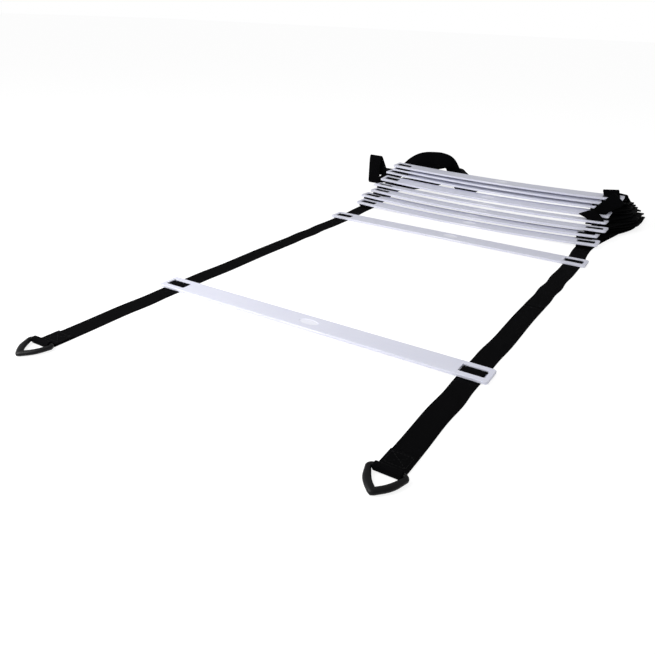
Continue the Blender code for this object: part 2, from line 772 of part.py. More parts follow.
def stand_on_origin():
    """Moves the whole ladder so that the origin lies under the middle of its outer box."""
    bpy.context.view_layer.update()
    graph = bpy.context.evaluated_depsgraph_get()
    corners = []
    for thing in bpy.context.scene.objects:
        seen = thing.evaluated_get(graph)
        mesh = seen.to_mesh()
        corners += [thing.matrix_world @ vert.co for vert in mesh.vertices]
        seen.to_mesh_clear()
    points = np.array(corners)
    middle = (points.min(axis=0) + points.max(axis=0)) / 2
    shift = Matrix.Translation(Vector((-middle[0], -middle[1], -points[:, 2].min())))
    for thing in bpy.context.scene.objects:
        thing.matrix_world = shift @ thing.matrix_world
    return shift.translation


def main():
    clear_scene()
    places = rung_places()
    flat = flat_rung()
    for number, place in places.items():
        make_rung(number, flat, place)
    for side_name in SIDES:
        make_side(side_name, places)
    shift = stand_on_origin()
    print("shift", [round(value, 5) for value in shift])
    for thing in bpy.context.scene.objects:
        if thing.name.startswith(("ring", "rung")):
            print(thing.name, [round(value, 5) for value in thing.location])


main()
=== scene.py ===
"""Looks of the agility ladder: moulded rungs, woven webbing with sewn ends, and rings.

Lengths are in metres. The layout is worked out in the ladder's own frame, with its origin on the
floor under the middle of the front rung, and ORIGIN says where that point is in the CAD frame.
"""

import math
from collections import namedtuple

import bmesh
import bpy
import numpy as np
from mathutils import Matrix, Vector


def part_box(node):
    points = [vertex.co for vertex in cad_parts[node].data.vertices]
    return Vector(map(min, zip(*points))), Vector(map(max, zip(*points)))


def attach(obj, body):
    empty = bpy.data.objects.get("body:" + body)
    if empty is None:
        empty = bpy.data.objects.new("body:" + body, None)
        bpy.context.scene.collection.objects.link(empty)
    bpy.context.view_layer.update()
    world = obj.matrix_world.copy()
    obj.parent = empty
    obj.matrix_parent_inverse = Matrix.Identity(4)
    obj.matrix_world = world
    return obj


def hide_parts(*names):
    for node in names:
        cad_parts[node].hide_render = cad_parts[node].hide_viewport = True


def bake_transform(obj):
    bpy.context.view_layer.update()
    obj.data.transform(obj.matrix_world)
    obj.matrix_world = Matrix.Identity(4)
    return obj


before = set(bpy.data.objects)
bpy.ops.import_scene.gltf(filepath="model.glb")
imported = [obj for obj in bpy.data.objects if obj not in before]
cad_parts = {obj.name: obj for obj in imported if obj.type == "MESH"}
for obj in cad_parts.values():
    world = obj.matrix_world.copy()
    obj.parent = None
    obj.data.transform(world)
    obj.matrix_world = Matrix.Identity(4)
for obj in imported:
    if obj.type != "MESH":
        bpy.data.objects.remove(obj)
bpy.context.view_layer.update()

# Camera of the photograph, in the ladder's frame
CAMERA_PLACE = (0.42186, -0.67614, 0.37514)
CAMERA_YAW_DEG = 30.25
CAMERA_PITCH_DEG = 25.39
CAMERA_ROLL_DEG = 2.47
CAMERA_LENS_MM = 35.80
SENSOR_MM = 36.0
CAMERA_NEAREST = 0.01

# The ladder's two sides, as signs of x
LEFT = -1
RIGHT = 1
SIDES = {"left": LEFT, "right": RIGHT}

# Webbing
WEBBING_WIDTH = 0.030
WEBBING_THICKNESS = 0.0015
SEAT_GAP = 0.0003
SEWN_OVERLAP = 0.035
EYE_JOIN_SHARE = 2.4
EYE_RISE_SHARE = 1.5
EYE_LIFT_SHARE = 0.25
EYE_START_DEG = 62.0
SELVEDGE = 0.0009
STITCH_LENGTH = 0.0030
STITCH_GAP = 0.0008
STITCH_WIDTH = 0.0007
SEAM_INSET = 0.0035
SEAM_START_SHARE = 3.0

# Rung
RUNG_LENGTH = 0.510
RUNG_WIDTH = 0.037
RUNG_THICKNESS = 0.004
RUNG_CORNER_RADIUS = 0.004
RUNG_EDGE_RADIUS = 0.0009
RUNG_END_WALL = 0.0064
WEBBING_PLAY = 0.0016
WINDOW_CORNER_RADIUS = 0.0012
MOULD_FILLET = 0.0003
BAR_WIDTH = 0.006
BAR_THICKNESS = 0.0014
BAR_HEIGHT = 0.0006
SLOT_WIDTH = 0.0066
RECESS_LENGTH = 0.028
RECESS_WIDTH = 0.014
RECESS_DEPTH = 0.0006
CUT_OVERRUN = 0.002

# Ring
RING_BAR_RADIUS = 0.003
RING_LEG_RADIUS = 0.0044
RING_HALF_WIDTH = 0.0190
RING_DEPTH = 0.0325
RING_CORNER_RADIUS = 0.004
RING_SHOULDER = (0.0122, 0.0205)

# Laid out front half
RUNG_SPACING = 0.486
FIRST_RUNG_LEAD = 0.0033
END_LENGTH = 0.229
LEFT_END_EXTRA = 0.014
WANDER = 0.0010
WANDER_LENGTH = 0.115
SECOND_RUNG_SHIFT = 0.008
SECOND_RUNG_YAW_DEG = 0.44
REAR_STRETCH_LENGTH = 0.070
NODE_GAP = 0.00003
WEAVE_OVERHANG = 0.002

# Pile of rungs 3 to 10, each place as a step from the rung below
FIRST_PILED = 3
LAST_RUNG = 10
PILE_REACH = 0.1163
PILE_STEP_SHARES = (0.0, 0.84, 0.60, 0.87, 0.92, 0.75, 0.12, 0.13)
PILE_SHIFT_SHARES = (0.11, -0.08, 0.19, 0.01, -0.03, -0.11, 0.32, 0.32)
PILE_BOW_SHARES = (1.70, 1.75, 1.62, 1.50, 1.72, 1.55, 1.50, 1.30)
PILE_SLACK_SHARES = (0.05, 0.0, 0.0, 0.0, 0.30, 0.30, 0.0, 0.0)
PILE_TILTS_DEG = (0.0, -2.3, -2.3, -5.9, 3.9, 0.6, 1.4, 2.0)
PILE_YAWS_DEG = (1.19, 0.70, 0.14, 0.56, 0.08, -1.02, -0.70, 0.57)

# Slack webbing that stands up out of a piled rung's window: its lean to the right, its height
WINDOW_LOOPS = {
    (6, "right"): (-0.020, 0.016),
    (7, "right"): (0.033, 0.034),
    (10, "right"): (-0.004, 0.014),
}
LEAN_TURN = 22.0
LOOP_LEG_REACH = 0.004
LOOP_LEG_FOOT = 0.0055
LOOP_SLOT_LEVEL = 0.0015

# Folds of the webbing behind the pile, bays 2 to 9
FIRST_BAY = 2
FALL_REACH = 0.1977
FALL_LENGTH = 0.190
FAN_LEAST_RUNS = {LEFT: 0.045, RIGHT: 0.075}
LAYER_PLAY = 0.0007
FLOOR_PLAY = 0.0005
TIP_RAMP = 0.030
LEVEL_RUN = 0.030
LEVEL_START = 0.010
LAYER_SPACING = 0.018
LAYER_MARGIN = 0.002
LAYER_HEIGHTS = {
    LEFT: (0.002, 0.006, 0.012, 0.021, 0.030, 0.038, 0.054, 0.070),
    RIGHT: (0.002, 0.006, 0.012, 0.021, 0.030, 0.038, 0.047, 0.056),
}
FANS = {
    LEFT: (0.022, 0.028, 0.034, -0.055, -0.070, 0.074, -0.065, -0.098),
    RIGHT: (0.035, 0.052, 0.058, 0.052, 0.042, 0.032, 0.025, 0.018),
}
TIP_REACHES = (0.1847, 0.2587, 0.2847, 0.3107, 0.3437, 0.3657, 0.3867, 0.4077)

# Loop that stands up at the left of the pile
LOOP_BAY = 7
LOOP_HEIGHT = 0.078
LOOP_BACK_POINTS = 4
LOOP_ROUTE_SHARES = (
    (-0.06, 0.12, 0.470), (-0.18, 0.30, 0.455), (-0.52, 0.74, 0.415),
    (-0.86, 1.13, 0.385), (-0.94, 1.30, 0.350), (-0.94, 1.345, 0.275),
    (-0.94, 1.27, 0.215), (-0.95, 0.92, 0.16), (-0.97, 0.55, 0.12),
    (-0.97, 0.42, 0.17), (-0.955, 0.375, 0.35), (-0.955, 0.37, 0.65),
    (-0.955, 0.375, 0.88), (-0.955, 0.405, 0.975), (-0.95, 0.46, 0.975),
    (-0.91, 0.49, 0.88), (-0.80, 0.495, 0.64), (-0.74, 0.53, 0.44),
    (-0.74, 0.66, 0.37), (-0.76, 1.00, 0.38), (-0.79, 1.20, 0.41),
    (-0.79, 1.245, 0.445), (-0.77, 1.20, 0.475), (-0.74, 1.00, 0.49),
    (-0.56, 0.74, 0.505), (-0.28, 0.45, 0.535),
)

# Loose webbing ends behind the pile
LEFT_TAIL_ROUTE_SHARES = (
    (0.035, 0.070, 1.17), (0.105, 0.125, 1.27), (0.200, 0.165, 1.30), (0.300, 0.175, 1.30),
    (0.385, 0.190, 1.17), (0.445, 0.225, 0.76), (0.490, 0.290, 0.32), (0.530, 0.370, 0.08),
)
LEFT_TAIL_TURNS_DEG = (8.0, 48.0, 84.0, 90.0, 98.0, 125.0, 158.0, 178.0)
LEFT_TAIL_LEAN = 0.4
RIGHT_TAIL_ROUTE_SHARES = (
    (0.030, 0.050, 1.08), (0.046, 0.120, 1.05), (0.046, 0.220, 0.88),
    (0.030, 0.420, 0.58), (-0.060, 0.620, 0.22), (-0.130, 0.770, 0.066),
)
RIGHT_TAIL_TURNS_DEG = (-22.0, -20.0, -5.0, 10.0, 18.0, 14.0)

# Fineness, and a tiny length for tests of place and for slopes
TINY = 0.0003
CORNER_STEPS = 10
EDGE_SEGMENTS = 5
WINDOW_SEGMENTS = 4
FILLET_SEGMENTS = 3
FILLET_ANGLE_DEG = 35.0
NORMAL_WEIGHT = 100
BOW_CUTS = 41
SECTION_SHARES = (0.0, 0.3, 0.6, 0.8)
SECTION_STEPS = 5
STITCH_SIDES = 10
STITCH_RINGS = 6
RING_SIDES = 20
RECESS_SIDES = 40
RING_CORNER_STEPS = 8
LAP_STEPS = 8
EYE_STEPS = 28
TURN_STEPS = 12
ROUTE_STEPS = 7
LOOP_STEPS = 8
FLAT_STATION = 0.006
LAYER_STATIONS = 4

# Surfaces: colours go from dark to light, noise is scale, detail, roughness and stretch, a span
# is where noise starts to show and where it shows in full, and relief is depth and strength
BLACK = (0.0, 0.0, 0.0)
WHITE = (1.0, 1.0, 1.0)
RUNG_COLOURS = ((0.715, 0.725, 0.845), (0.765, 0.775, 0.875))
# Colour painted on the floor of the recess, lighter than the rest of the top
RECESS_COLOUR = (0.86, 0.865, 0.95)
FLOW_NOISE = (1.0, 5.0, 0.55, (14.0, 90.0, 60.0))
SCRATCH_NOISE = (1.0, 3.0, 0.6, (55.0, 1500.0, 300.0))
SCRATCH_SPAN = (0.66, 0.74)
MOTTLE_NOISE = (38.0, 4.0)
MOTTLE_SPAN = (0.50, 0.66)
RUNG_GRAIN = (2600.0, 3.0)
RUNG_GRAIN_RELIEF = (0.00002, 0.5)
RUNG_ROUGHNESS = (0.34, 0.46)
SCUFF_WHITE = 0.35
SCUFF_PALENESS = 0.25
SCUFF_ROUGHNESS = 0.18
SCUFF_RELIEF = (0.00004, 0.6)
RUNG_GLOW = {
    "Subsurface Weight": 0.06,
    "Subsurface Radius": (0.004, 0.004, 0.005),
    "Subsurface Scale": 0.5,
}
WEBBING_COLOURS = ((0.0008, 0.0008, 0.0010), (0.0034, 0.0034, 0.0040))
WEAVE_RIBS = 26.0
WEAVE_PICKS = 19.0
WEAVE_DRIFT = 0.12
WEAVE_DRIFT_NOISE = (60.0, 3.0)
RIB_POWER = 0.6
PICK_SHARES = (0.55, 0.45)
WEAVE_RELIEF = (0.00022, 0.8)
FIBRE_NOISE = (4000.0, 3.0)
FIBRE_RELIEF = (0.00006, 0.5)
DUST_NOISE = (42.0, 5.0, 0.6)
DUST_SPAN = (0.42, 0.75)
DUST_SHARE = 0.25
# Painted light on the weave: how much its height lightens the colour, so rib crests read lit and
# grooves shaded
PAINTED_CREST_LIGHT_SHARE = 0.55
WEBBING_ROUGHNESS = (0.95, 0.72)
WEBBING_SHINE = 0.03
RING_COLOURS = ((0.0010, 0.0010, 0.0013), (0.0030, 0.0030, 0.0038))
RING_GRAIN = (1800.0, 3.0)
RING_GRAIN_RELIEF = (0.00003, 0.6)
RING_WEAR_NOISE = (120.0, 4.0)
RING_WEAR_SPAN = (0.40, 0.64)
RING_ROUGHNESS = (0.48, 0.32)
RING_SHINE = 0.22
THREAD_COLOURS = ((0.0010, 0.0010, 0.0013), (0.0040, 0.0040, 0.0048))
TWIST_NOISE = (1.0, 2.0, 0.55, (2600.0, 2600.0, 900.0))
TWIST_RELIEF = (0.00008, 0.7)
THREAD_ROUGHNESS = (0.45, 0.65)
THREAD_SHINE = 0.12
PAPER_COLOURS = ((0.93, 0.93, 0.93), (0.95, 0.95, 0.95))
PAPER_TOOTH = (700.0, 3.0)
PAPER_ROUGHNESS = 0.95
PAPER_SHADE = (0.34, 0.34, 0.34, 1.0)
PAPER_GLOW = 0.84

# Studio: the world's strength on the ladder and to the camera, and each lamp's place, aim,
# size and power
FLOOR_SIZE = 30.0
FLOOR_CELLS = 8
WORLD_STRENGTHS = (0.40, 1.0)
LAMPS = {
    "front": ((-0.65, -1.0, 0.75), (0.0, 0.0, 0.0), 0.9, 14.0),
    "key": ((-1.4, -1.0, 2.6), (0.0, 0.1, 0.0), 2.4, 9.0),
    "fill": ((1.8, 0.8, 2.2), (0.0, 0.1, 0.0), 2.0, 3.0),
}

# Worked out from the values above
WINDOW_LENGTH = WEBBING_WIDTH + 2 * WEBBING_PLAY
WINDOW_WIDTH = BAR_WIDTH + 2 * SLOT_WIDTH
WINDOW_OUTER = RUNG_LENGTH / 2 - RUNG_END_WALL
WINDOW_CENTRE = WINDOW_OUTER - WINDOW_LENGTH / 2
WINDOW_INNER = WINDOW_OUTER - WINDOW_LENGTH
HALF_WEBBING = WEBBING_WIDTH / 2
HALF_THICKNESS = WEBBING_THICKNESS / 2
WEB_STEP = WEBBING_THICKNESS + SEAT_GAP
UNDER_RIM = -SEAT_GAP - HALF_THICKNESS
UNDER_WEAVE = UNDER_RIM - WEB_STEP
OVER_BAR = BAR_HEIGHT + BAR_THICKNESS + SEAT_GAP + HALF_THICKNESS
LAYER_STEP = WEBBING_THICKNESS + LAYER_PLAY
EYE_RADIUS = RING_BAR_RADIUS + SEAT_GAP + HALF_THICKNESS
EYE_HEIGHT = EYE_RADIUS + HALF_THICKNESS
PILE_DISTANCE = RUNG_SPACING + PILE_REACH
FALL_DISTANCE = PILE_DISTANCE + FALL_REACH

front_low, front_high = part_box("rung_01")
ORIGIN = Vector(((front_low.x + front_high.x) / 2, (front_low.y + front_high.y) / 2, 0.0))

RungPlace = namedtuple("RungPlace", "x y z yaw tilt bow")


# Materials

class Nodes:
    """A material's node tree with short calls to add and join nodes."""

    def __init__(self, name):
        self.material = bpy.data.materials.new(name)
        self.material.use_nodes = True
        self.tree = self.material.node_tree
        self.shader = self.tree.nodes["Principled BSDF"]
        self.place = self.add("TexCoord").outputs["Object"]

    def add(self, kind, inputs=None, **settings):
        node = self.tree.nodes.new(f"ShaderNode{kind}")
        for name, value in settings.items():
            setattr(node, name, value)
        for socket, value in (inputs or {}).items():
            self.join(value, node.inputs[socket])
        return node

    def join(self, value, socket):
        if isinstance(value, bpy.types.NodeSocket):
            self.tree.links.new(value, socket)
        else:
            socket.default_value = value

    def math(self, operation, *values):
        return self.add("Math", dict(enumerate(values)), operation=operation).outputs[0]

    def noise(self, scale, detail, roughness=0.55, stretch=None):
        """Noise over the piece, finer along an axis by its factor in stretch."""
        place = self.place
        if stretch:
            place = self.add("Mapping", {"Vector": place, "Scale": stretch}).outputs["Vector"]
        node = self.add("TexNoise", {"Vector": place, "Scale": scale, "Detail": detail,
                                     "Roughness": roughness})
        return node.outputs["Fac"]

    def between(self, value, low, high, start=0.0, end=1.0):
        node = self.add("MapRange", {"Value": value, "From Min": start, "From Max": end,
                                     "To Min": low, "To Max": high})
        return node.outputs["Result"]

    def shown(self, noise, span):
        """0 where the noise is below the span, 1 where it is above, and a ramp between."""
        return self.between(self.noise(*noise), 0.0, 1.0, *span)

    def tint(self, share, first, second, blend="MIX"):
        """A mix of two colours, each given as a socket or as red, green and blue."""
        node = self.add("Mix", data_type="RGBA", blend_type=blend)
        self.join(share, node.inputs["Factor"])
        for colour, socket in ((first, node.inputs[6]), (second, node.inputs[7])):
            self.join((*colour, 1.0) if isinstance(colour, tuple) else colour, socket)
        return node.outputs[2]

    def bump(self, height, distance, strength=1.0, normal=None):
        node = self.add("Bump", {"Height": height, "Distance": distance, "Strength": strength})
        if normal is not None:
            self.join(normal, node.inputs["Normal"])
        return node.outputs["Normal"]

    def finish(self, **inputs):
        """The material, with these values or sockets on its shader's inputs."""
        for name, value in inputs.items():
            self.join(value, self.shader.inputs[name.replace("_", " ")])
        return self.material


def rung_plastic():
    """Pale lavender moulded plastic: satin skin, fine grain, flow marks and rubbed scuffs."""
    nodes = Nodes("rung_plastic")
    flow = nodes.noise(*FLOW_NOISE)
    grain = nodes.noise(*RUNG_GRAIN)
    rubbed = nodes.math("MULTIPLY", nodes.shown(SCRATCH_NOISE, SCRATCH_SPAN),
                        nodes.shown(MOTTLE_NOISE, MOTTLE_SPAN))
    colour = nodes.tint(flow, *RUNG_COLOURS)
    sunk = nodes.add("Attribute", attribute_name="recess").outputs["Fac"]
    # The recess floor is painted a lighter colour than the rest of the rung's top
    recess_lightened = nodes.tint(sunk, colour, RECESS_COLOUR)
    worn = nodes.tint(nodes.math("MULTIPLY", rubbed, SCUFF_WHITE), BLACK, WHITE)
    paled = nodes.tint(SCUFF_PALENESS, recess_lightened, worn, "SCREEN")
    roughness = nodes.math("ADD", nodes.between(flow, *RUNG_ROUGHNESS),
                           nodes.math("MULTIPLY", rubbed, SCUFF_ROUGHNESS))
    skin = nodes.bump(grain, *RUNG_GRAIN_RELIEF)
    skin = nodes.bump(nodes.math("MULTIPLY", rubbed, -1.0), *SCUFF_RELIEF, skin)
    return nodes.finish(**RUNG_GLOW, Base_Color=paled, Roughness=roughness, Normal=skin)


def woven_webbing():
    """Black plain weave: rows of warp ribs that each weft pick presses down, a little fuzzy.
    The mesh's UV map is in webbing widths, across and along."""
    nodes = Nodes("webbing")
    split = nodes.add("SeparateXYZ", {"Vector": nodes.add("TexCoord").outputs["UV"]})
    across, along = split.outputs[0], split.outputs[1]
    drift = nodes.between(nodes.noise(*WEAVE_DRIFT_NOISE), -WEAVE_DRIFT, WEAVE_DRIFT)
    ribs = nodes.math("ADD", nodes.math("MULTIPLY", across, WEAVE_RIBS), drift)
    picks = nodes.math("ADD", nodes.math("MULTIPLY", along, WEAVE_PICKS), drift)
    shifted = nodes.math("MULTIPLY_ADD", nodes.math("FLOOR", ribs), 0.5, picks)
    rib, pick = (nodes.math("ABSOLUTE", nodes.math("SINE", nodes.math("MULTIPLY", turn, math.pi)))
                 for turn in (ribs, shifted))
    height = nodes.math("MULTIPLY", nodes.math("POWER", rib, RIB_POWER),
                        nodes.math("MULTIPLY_ADD", pick, *PICK_SHARES))
    # The colour is lighter with the dust, which is real, and with the weave's height, which is
    # painted light and shade: pale rib crests and dark grooves
    dust_and_painted_crest_light = nodes.math("MULTIPLY_ADD", nodes.shown(DUST_NOISE, DUST_SPAN), DUST_SHARE,
                     nodes.math("MULTIPLY", height, PAINTED_CREST_LIGHT_SHARE))
    skin = nodes.bump(height, *WEAVE_RELIEF)
    skin = nodes.bump(nodes.noise(*FIBRE_NOISE), *FIBRE_RELIEF, skin)
    return nodes.finish(Specular_IOR_Level=WEBBING_SHINE,
                        Base_Color=nodes.tint(dust_and_painted_crest_light, *WEBBING_COLOURS),
                        Roughness=nodes.between(height, *WEBBING_ROUGHNESS), Normal=skin)


def ring_plastic():
    """Black moulded plastic, satin where it is handled and duller elsewhere."""
    nodes = Nodes("ring_plastic")
    grain = nodes.noise(*RING_GRAIN)
    rubbed = nodes.shown(RING_WEAR_NOISE, RING_WEAR_SPAN)
    return nodes.finish(Specular_IOR_Level=RING_SHINE,
                        Base_Color=nodes.tint(rubbed, *RING_COLOURS),
                        Roughness=nodes.between(rubbed, *RING_ROUGHNESS),
                        Normal=nodes.bump(grain, *RING_GRAIN_RELIEF))


def seam_thread():
    """Twisted black polyester thread with a slight shine."""
    nodes = Nodes("seam_thread")
    twist = nodes.noise(*TWIST_NOISE)
    return nodes.finish(Specular_IOR_Level=THREAD_SHINE,
                        Base_Color=nodes.tint(twist, *THREAD_COLOURS),
                        Roughness=nodes.between(twist, *THREAD_ROUGHNESS),
                        Normal=nodes.bump(twist, *TWIST_RELIEF))


def floor_paper():
    """White studio paper with the faintest tooth. To the camera and in reflections most of its
    white comes from the paper itself, and the rest from the light, which keeps the shadow."""
    nodes = Nodes("studio_paper")
    tooth = nodes.noise(*PAPER_TOOTH)
    surface = nodes.finish(Roughness=PAPER_ROUGHNESS, Specular_IOR_Level=0.0,
                           Base_Color=nodes.tint(tooth, *PAPER_COLOURS))
    path = nodes.add("LightPath")
    seen = nodes.math("MAXIMUM", path.outputs["Is Camera Ray"], path.outputs["Is Glossy Ray"])
    shaded = nodes.add("BsdfDiffuse", {"Color": PAPER_SHADE})
    white = nodes.add("Emission", {"Color": (*WHITE, 1.0), "Strength": PAPER_GLOW})
    paper = nodes.add("AddShader", {0: shaded.outputs[0], 1: white.outputs[0]})
    both = nodes.add("MixShader", {0: seen, 1: nodes.shader.outputs[0], 2: paper.outputs[0]})
    nodes.join(both.outputs[0], nodes.tree.nodes["Material Output"].inputs["Surface"])
    return surface


# Common helpers

def smooth_step(value):
    share = np.clip(value, 0.0, 1.0)
    return share * share * (3 - 2 * share)


def unit(vectors):
    return vectors / np.linalg.norm(vectors, axis=-1, keepdims=True)


def add_object(name, data):
    """An object with this data, in the scene."""
    added = bpy.data.objects.new(name, data)
    bpy.context.scene.collection.objects.link(added)
    return added


def mesh_of(shape, name):
    """The finished shape as a mesh."""
    mesh = bpy.data.meshes.new(name)
    shape.to_mesh(mesh)
    shape.free()
    return mesh


def tube_faces(index):
    """Faces between the rows of a grid of point numbers, whose rows each run round a tube."""
    turned = np.roll(index, -1, axis=1)
    faces = np.stack([index[:-1], turned[:-1], turned[1:], index[1:]], axis=-1)
    return faces.reshape(-1, 4).tolist()


def closed_mesh(name, points, faces):
    """A smooth closed mesh with all its faces turned outward."""
    raw = bpy.data.meshes.new(name)
    raw.from_pydata(points.reshape(-1, 3).tolist(), [], faces)
    shape = bmesh.new()
    shape.from_mesh(raw)
    bpy.data.meshes.remove(raw)
    bmesh.ops.recalc_face_normals(shape, faces=shape.faces)
    mesh = mesh_of(shape, name)
    mesh.shade_smooth()
    return mesh


def new_piece(name, mesh, material):
    """A visible piece at its place in the CAD frame."""
    mesh.transform(Matrix.Translation(ORIGIN))
    mesh.materials.clear()
    mesh.materials.append(material)
    piece = add_object(name, mesh)
    return piece


def smooth_line(points):
    """Points of a Catmull-Rom line through the given ones."""
    points = np.array(points, float)
    padded = np.vstack([2 * points[0] - points[1], points, 2 * points[-1] - points[-2]])
    line = []
    for index in range(1, len(points)):
        p0, p1, p2, p3 = padded[index - 1:index + 3]
        for t in np.linspace(0.0, 1.0, ROUTE_STEPS, endpoint=False):
            line.append(0.5 * (2 * p1 + (p2 - p0) * t + (2 * p0 - 5 * p1 + 4 * p2 - p3) * t**2
                               + (3 * p1 - p0 - 3 * p2 + p3) * t**3))
    line.append(points[-1])
    return np.array(line)


def eased(points, rounds=2):
    """The same route with its corners cut, which keeps it inside the straight one."""
    points = np.array(points, float)
    for _ in range(rounds):
        near = 0.75 * points[:-1] + 0.25 * points[1:]
        far = 0.25 * points[:-1] + 0.75 * points[1:]
        inner = np.stack([near, far], axis=1).reshape(-1, points.shape[1])
        points = np.vstack([points[:1], inner, points[-1:]])
    return points


def arc(centre, radius, start_deg, end_deg, steps):
    """Points on an arc in one plane, both ends included."""
    return [(centre[0] + radius * math.cos(angle), centre[1] + radius * math.sin(angle))
            for angle in np.radians(np.linspace(start_deg, end_deg, steps + 1))]


# Places of the rungs

def on_rung(place, x, y, height):
    """Points for places on a flat rung, with height measured up from its underside."""
    bowed = height + place.bow * (2 * x / RUNG_LENGTH) ** 2
    cos_tilt, sin_tilt = math.cos(place.tilt), math.sin(place.tilt)
    cos_yaw, sin_yaw = math.cos(place.yaw), math.sin(place.yaw)
    level = y * cos_tilt - bowed * sin_tilt
    raised = y * sin_tilt + bowed * cos_tilt
    return np.array([
        place.x + x * cos_yaw - level * sin_yaw,
        place.y + x * sin_yaw + level * cos_yaw,
        place.z + raised,
    ])


def height_on_line(near, far, y):
    """Height at y on the line from one point to the other, and level beyond its ends."""
    share = np.clip((y - near[1]) / (far[1] - near[1]), 0.0, 1.0)
    return near[2] + share * (far[2] - near[2])


def spare_room(lower, upper):
    """The least height that two piled rungs leave over the two webbing layers between them."""
    half = RUNG_WIDTH / 2
    rooms = []
    shift = upper.x - lower.x
    for x in (-WINDOW_OUTER, -WINDOW_INNER, 0.0, WINDOW_INNER, WINDOW_OUTER):
        top = [on_rung(lower, x + shift, y, RUNG_THICKNESS) for y in (-half, half)]
        under = [on_rung(upper, x, y, 0.0) for y in (-half, half)]
        needed = 2 * WEB_STEP + SEAT_GAP if x else SEAT_GAP
        rooms.append(height_on_line(*under, top[1][1]) - top[1][2] - needed)
        rooms.append(under[0][2] - height_on_line(*top, under[0][1]) - needed)
    return min(rooms)


def rung_places():
    """Rungs 1 and 2 lie on the webbing, and each piled rung on the layers over the one below."""
    places = {
        1: RungPlace(0.0, -FIRST_RUNG_LEAD, WEB_STEP, 0.0, 0.0, 0.0),
        2: RungPlace(SECOND_RUNG_SHIFT, RUNG_SPACING, WEB_STEP,
                     math.radians(SECOND_RUNG_YAW_DEG), 0.0, 0.0),
    }
    y = PILE_DISTANCE
    pile = zip(PILE_STEP_SHARES, PILE_SHIFT_SHARES, PILE_BOW_SHARES, PILE_SLACK_SHARES,
               PILE_TILTS_DEG, PILE_YAWS_DEG)
    for number, (step, shift, bow, slack, tilt, yaw) in enumerate(pile, FIRST_PILED):
        y += step * RUNG_WIDTH
        loose = RungPlace(shift * RUNG_WIDTH, y, 0.0, math.radians(yaw), math.radians(tilt),
                          bow * RUNG_THICKNESS)
        if number == FIRST_PILED:
            z = 3 * WEB_STEP - on_rung(loose, WINDOW_INNER, 0.0, 0.0)[2]
        else:
            z = -spare_room(places[number - 1], loose)
        places[number] = loose._replace(z=z + slack * WEBBING_THICKNESS)
    return places


# Rungs

def rung_blank():
    """The rung's rounded outline as a slab, with its rims rolled over."""
    shape = bmesh.new()
    half_length = RUNG_LENGTH / 2 - RUNG_CORNER_RADIUS
    half_width = RUNG_WIDTH / 2 - RUNG_CORNER_RADIUS
    outline = []
    for side_x, side_y, start in ((1, -1, -90), (1, 1, 0), (-1, 1, 90), (-1, -1, 180)):
        centre = (side_x * half_length, side_y * half_width)
        for x, y in arc(centre, RUNG_CORNER_RADIUS, start, start + 90, CORNER_STEPS):
            outline.append(shape.verts.new((x, y, 0.0)))
    base = shape.faces.new(outline)
    risen = bmesh.ops.extrude_face_region(shape, geom=[base])
    top = [item for item in risen["geom"] if isinstance(item, bmesh.types.BMVert)]
    bmesh.ops.translate(shape, verts=top, vec=(0.0, 0.0, RUNG_THICKNESS))
    bmesh.ops.recalc_face_normals(shape, faces=shape.faces)
    rims = [edge for edge in shape.edges
            if abs(edge.verts[0].co.z - edge.verts[1].co.z) < TINY]
    bmesh.ops.bevel(shape, geom=rims, offset=RUNG_EDGE_RADIUS, segments=EDGE_SEGMENTS,
                    profile=0.5, affect="EDGES")
    return mesh_of(shape, "rung blank")


def window_cutter(x):
    """A block the size of one window with rounded corners, and a channel for the centre bar."""
    shape = bmesh.new()
    half = WINDOW_WIDTH / 2
    rings = []
    for reach, low, high in ((half, -CUT_OVERRUN, RUNG_THICKNESS + CUT_OVERRUN),
                             (BAR_WIDTH / 2, BAR_HEIGHT, BAR_HEIGHT + BAR_THICKNESS)):
        corners = ((-reach, low), (reach, low), (reach, high), (-reach, high))
        rings.append([[shape.verts.new((end, y, z)) for y, z in corners]
                      for end in (x - WINDOW_LENGTH / 2, x + WINDOW_LENGTH / 2)])
    for step, after in ((0, 1), (1, 2), (2, 3), (3, 0)):
        for near, far in (*rings, *zip(*rings)):
            shape.faces.new((near[step], near[after], far[after], far[step]))
    bmesh.ops.recalc_face_normals(shape, faces=shape.faces)
    corners = [edge for edge in shape.edges
               if all(abs(abs(vert.co.y) - half) < TINY for vert in edge.verts)
               and abs(edge.verts[0].co.z - edge.verts[1].co.z) > RUNG_THICKNESS]
    bmesh.ops.bevel(shape, geom=corners, offset=WINDOW_CORNER_RADIUS, segments=WINDOW_SEGMENTS,
                    profile=0.5, affect="EDGES")
    return mesh_of(shape, "window cutter")


def recess_cutter():
    """A shallow oval tray with sloped walls, sunk in the middle of the rung's top."""
    shape = bmesh.new()
    bmesh.ops.create_cone(shape, cap_ends=True, segments=RECESS_SIDES, radius1=0.5, radius2=0.5,
                          depth=1.0)
    for vert in shape.verts:
        low = vert.co.z < 0
        slope = 0.0 if low else RECESS_DEPTH + CUT_OVERRUN
        vert.co.x *= RECESS_LENGTH + 2 * slope
        vert.co.y *= RECESS_WIDTH + 2 * slope
        vert.co.z = RUNG_THICKNESS - RECESS_DEPTH if low else RUNG_THICKNESS + CUT_OVERRUN
    return mesh_of(shape, "recess cutter")


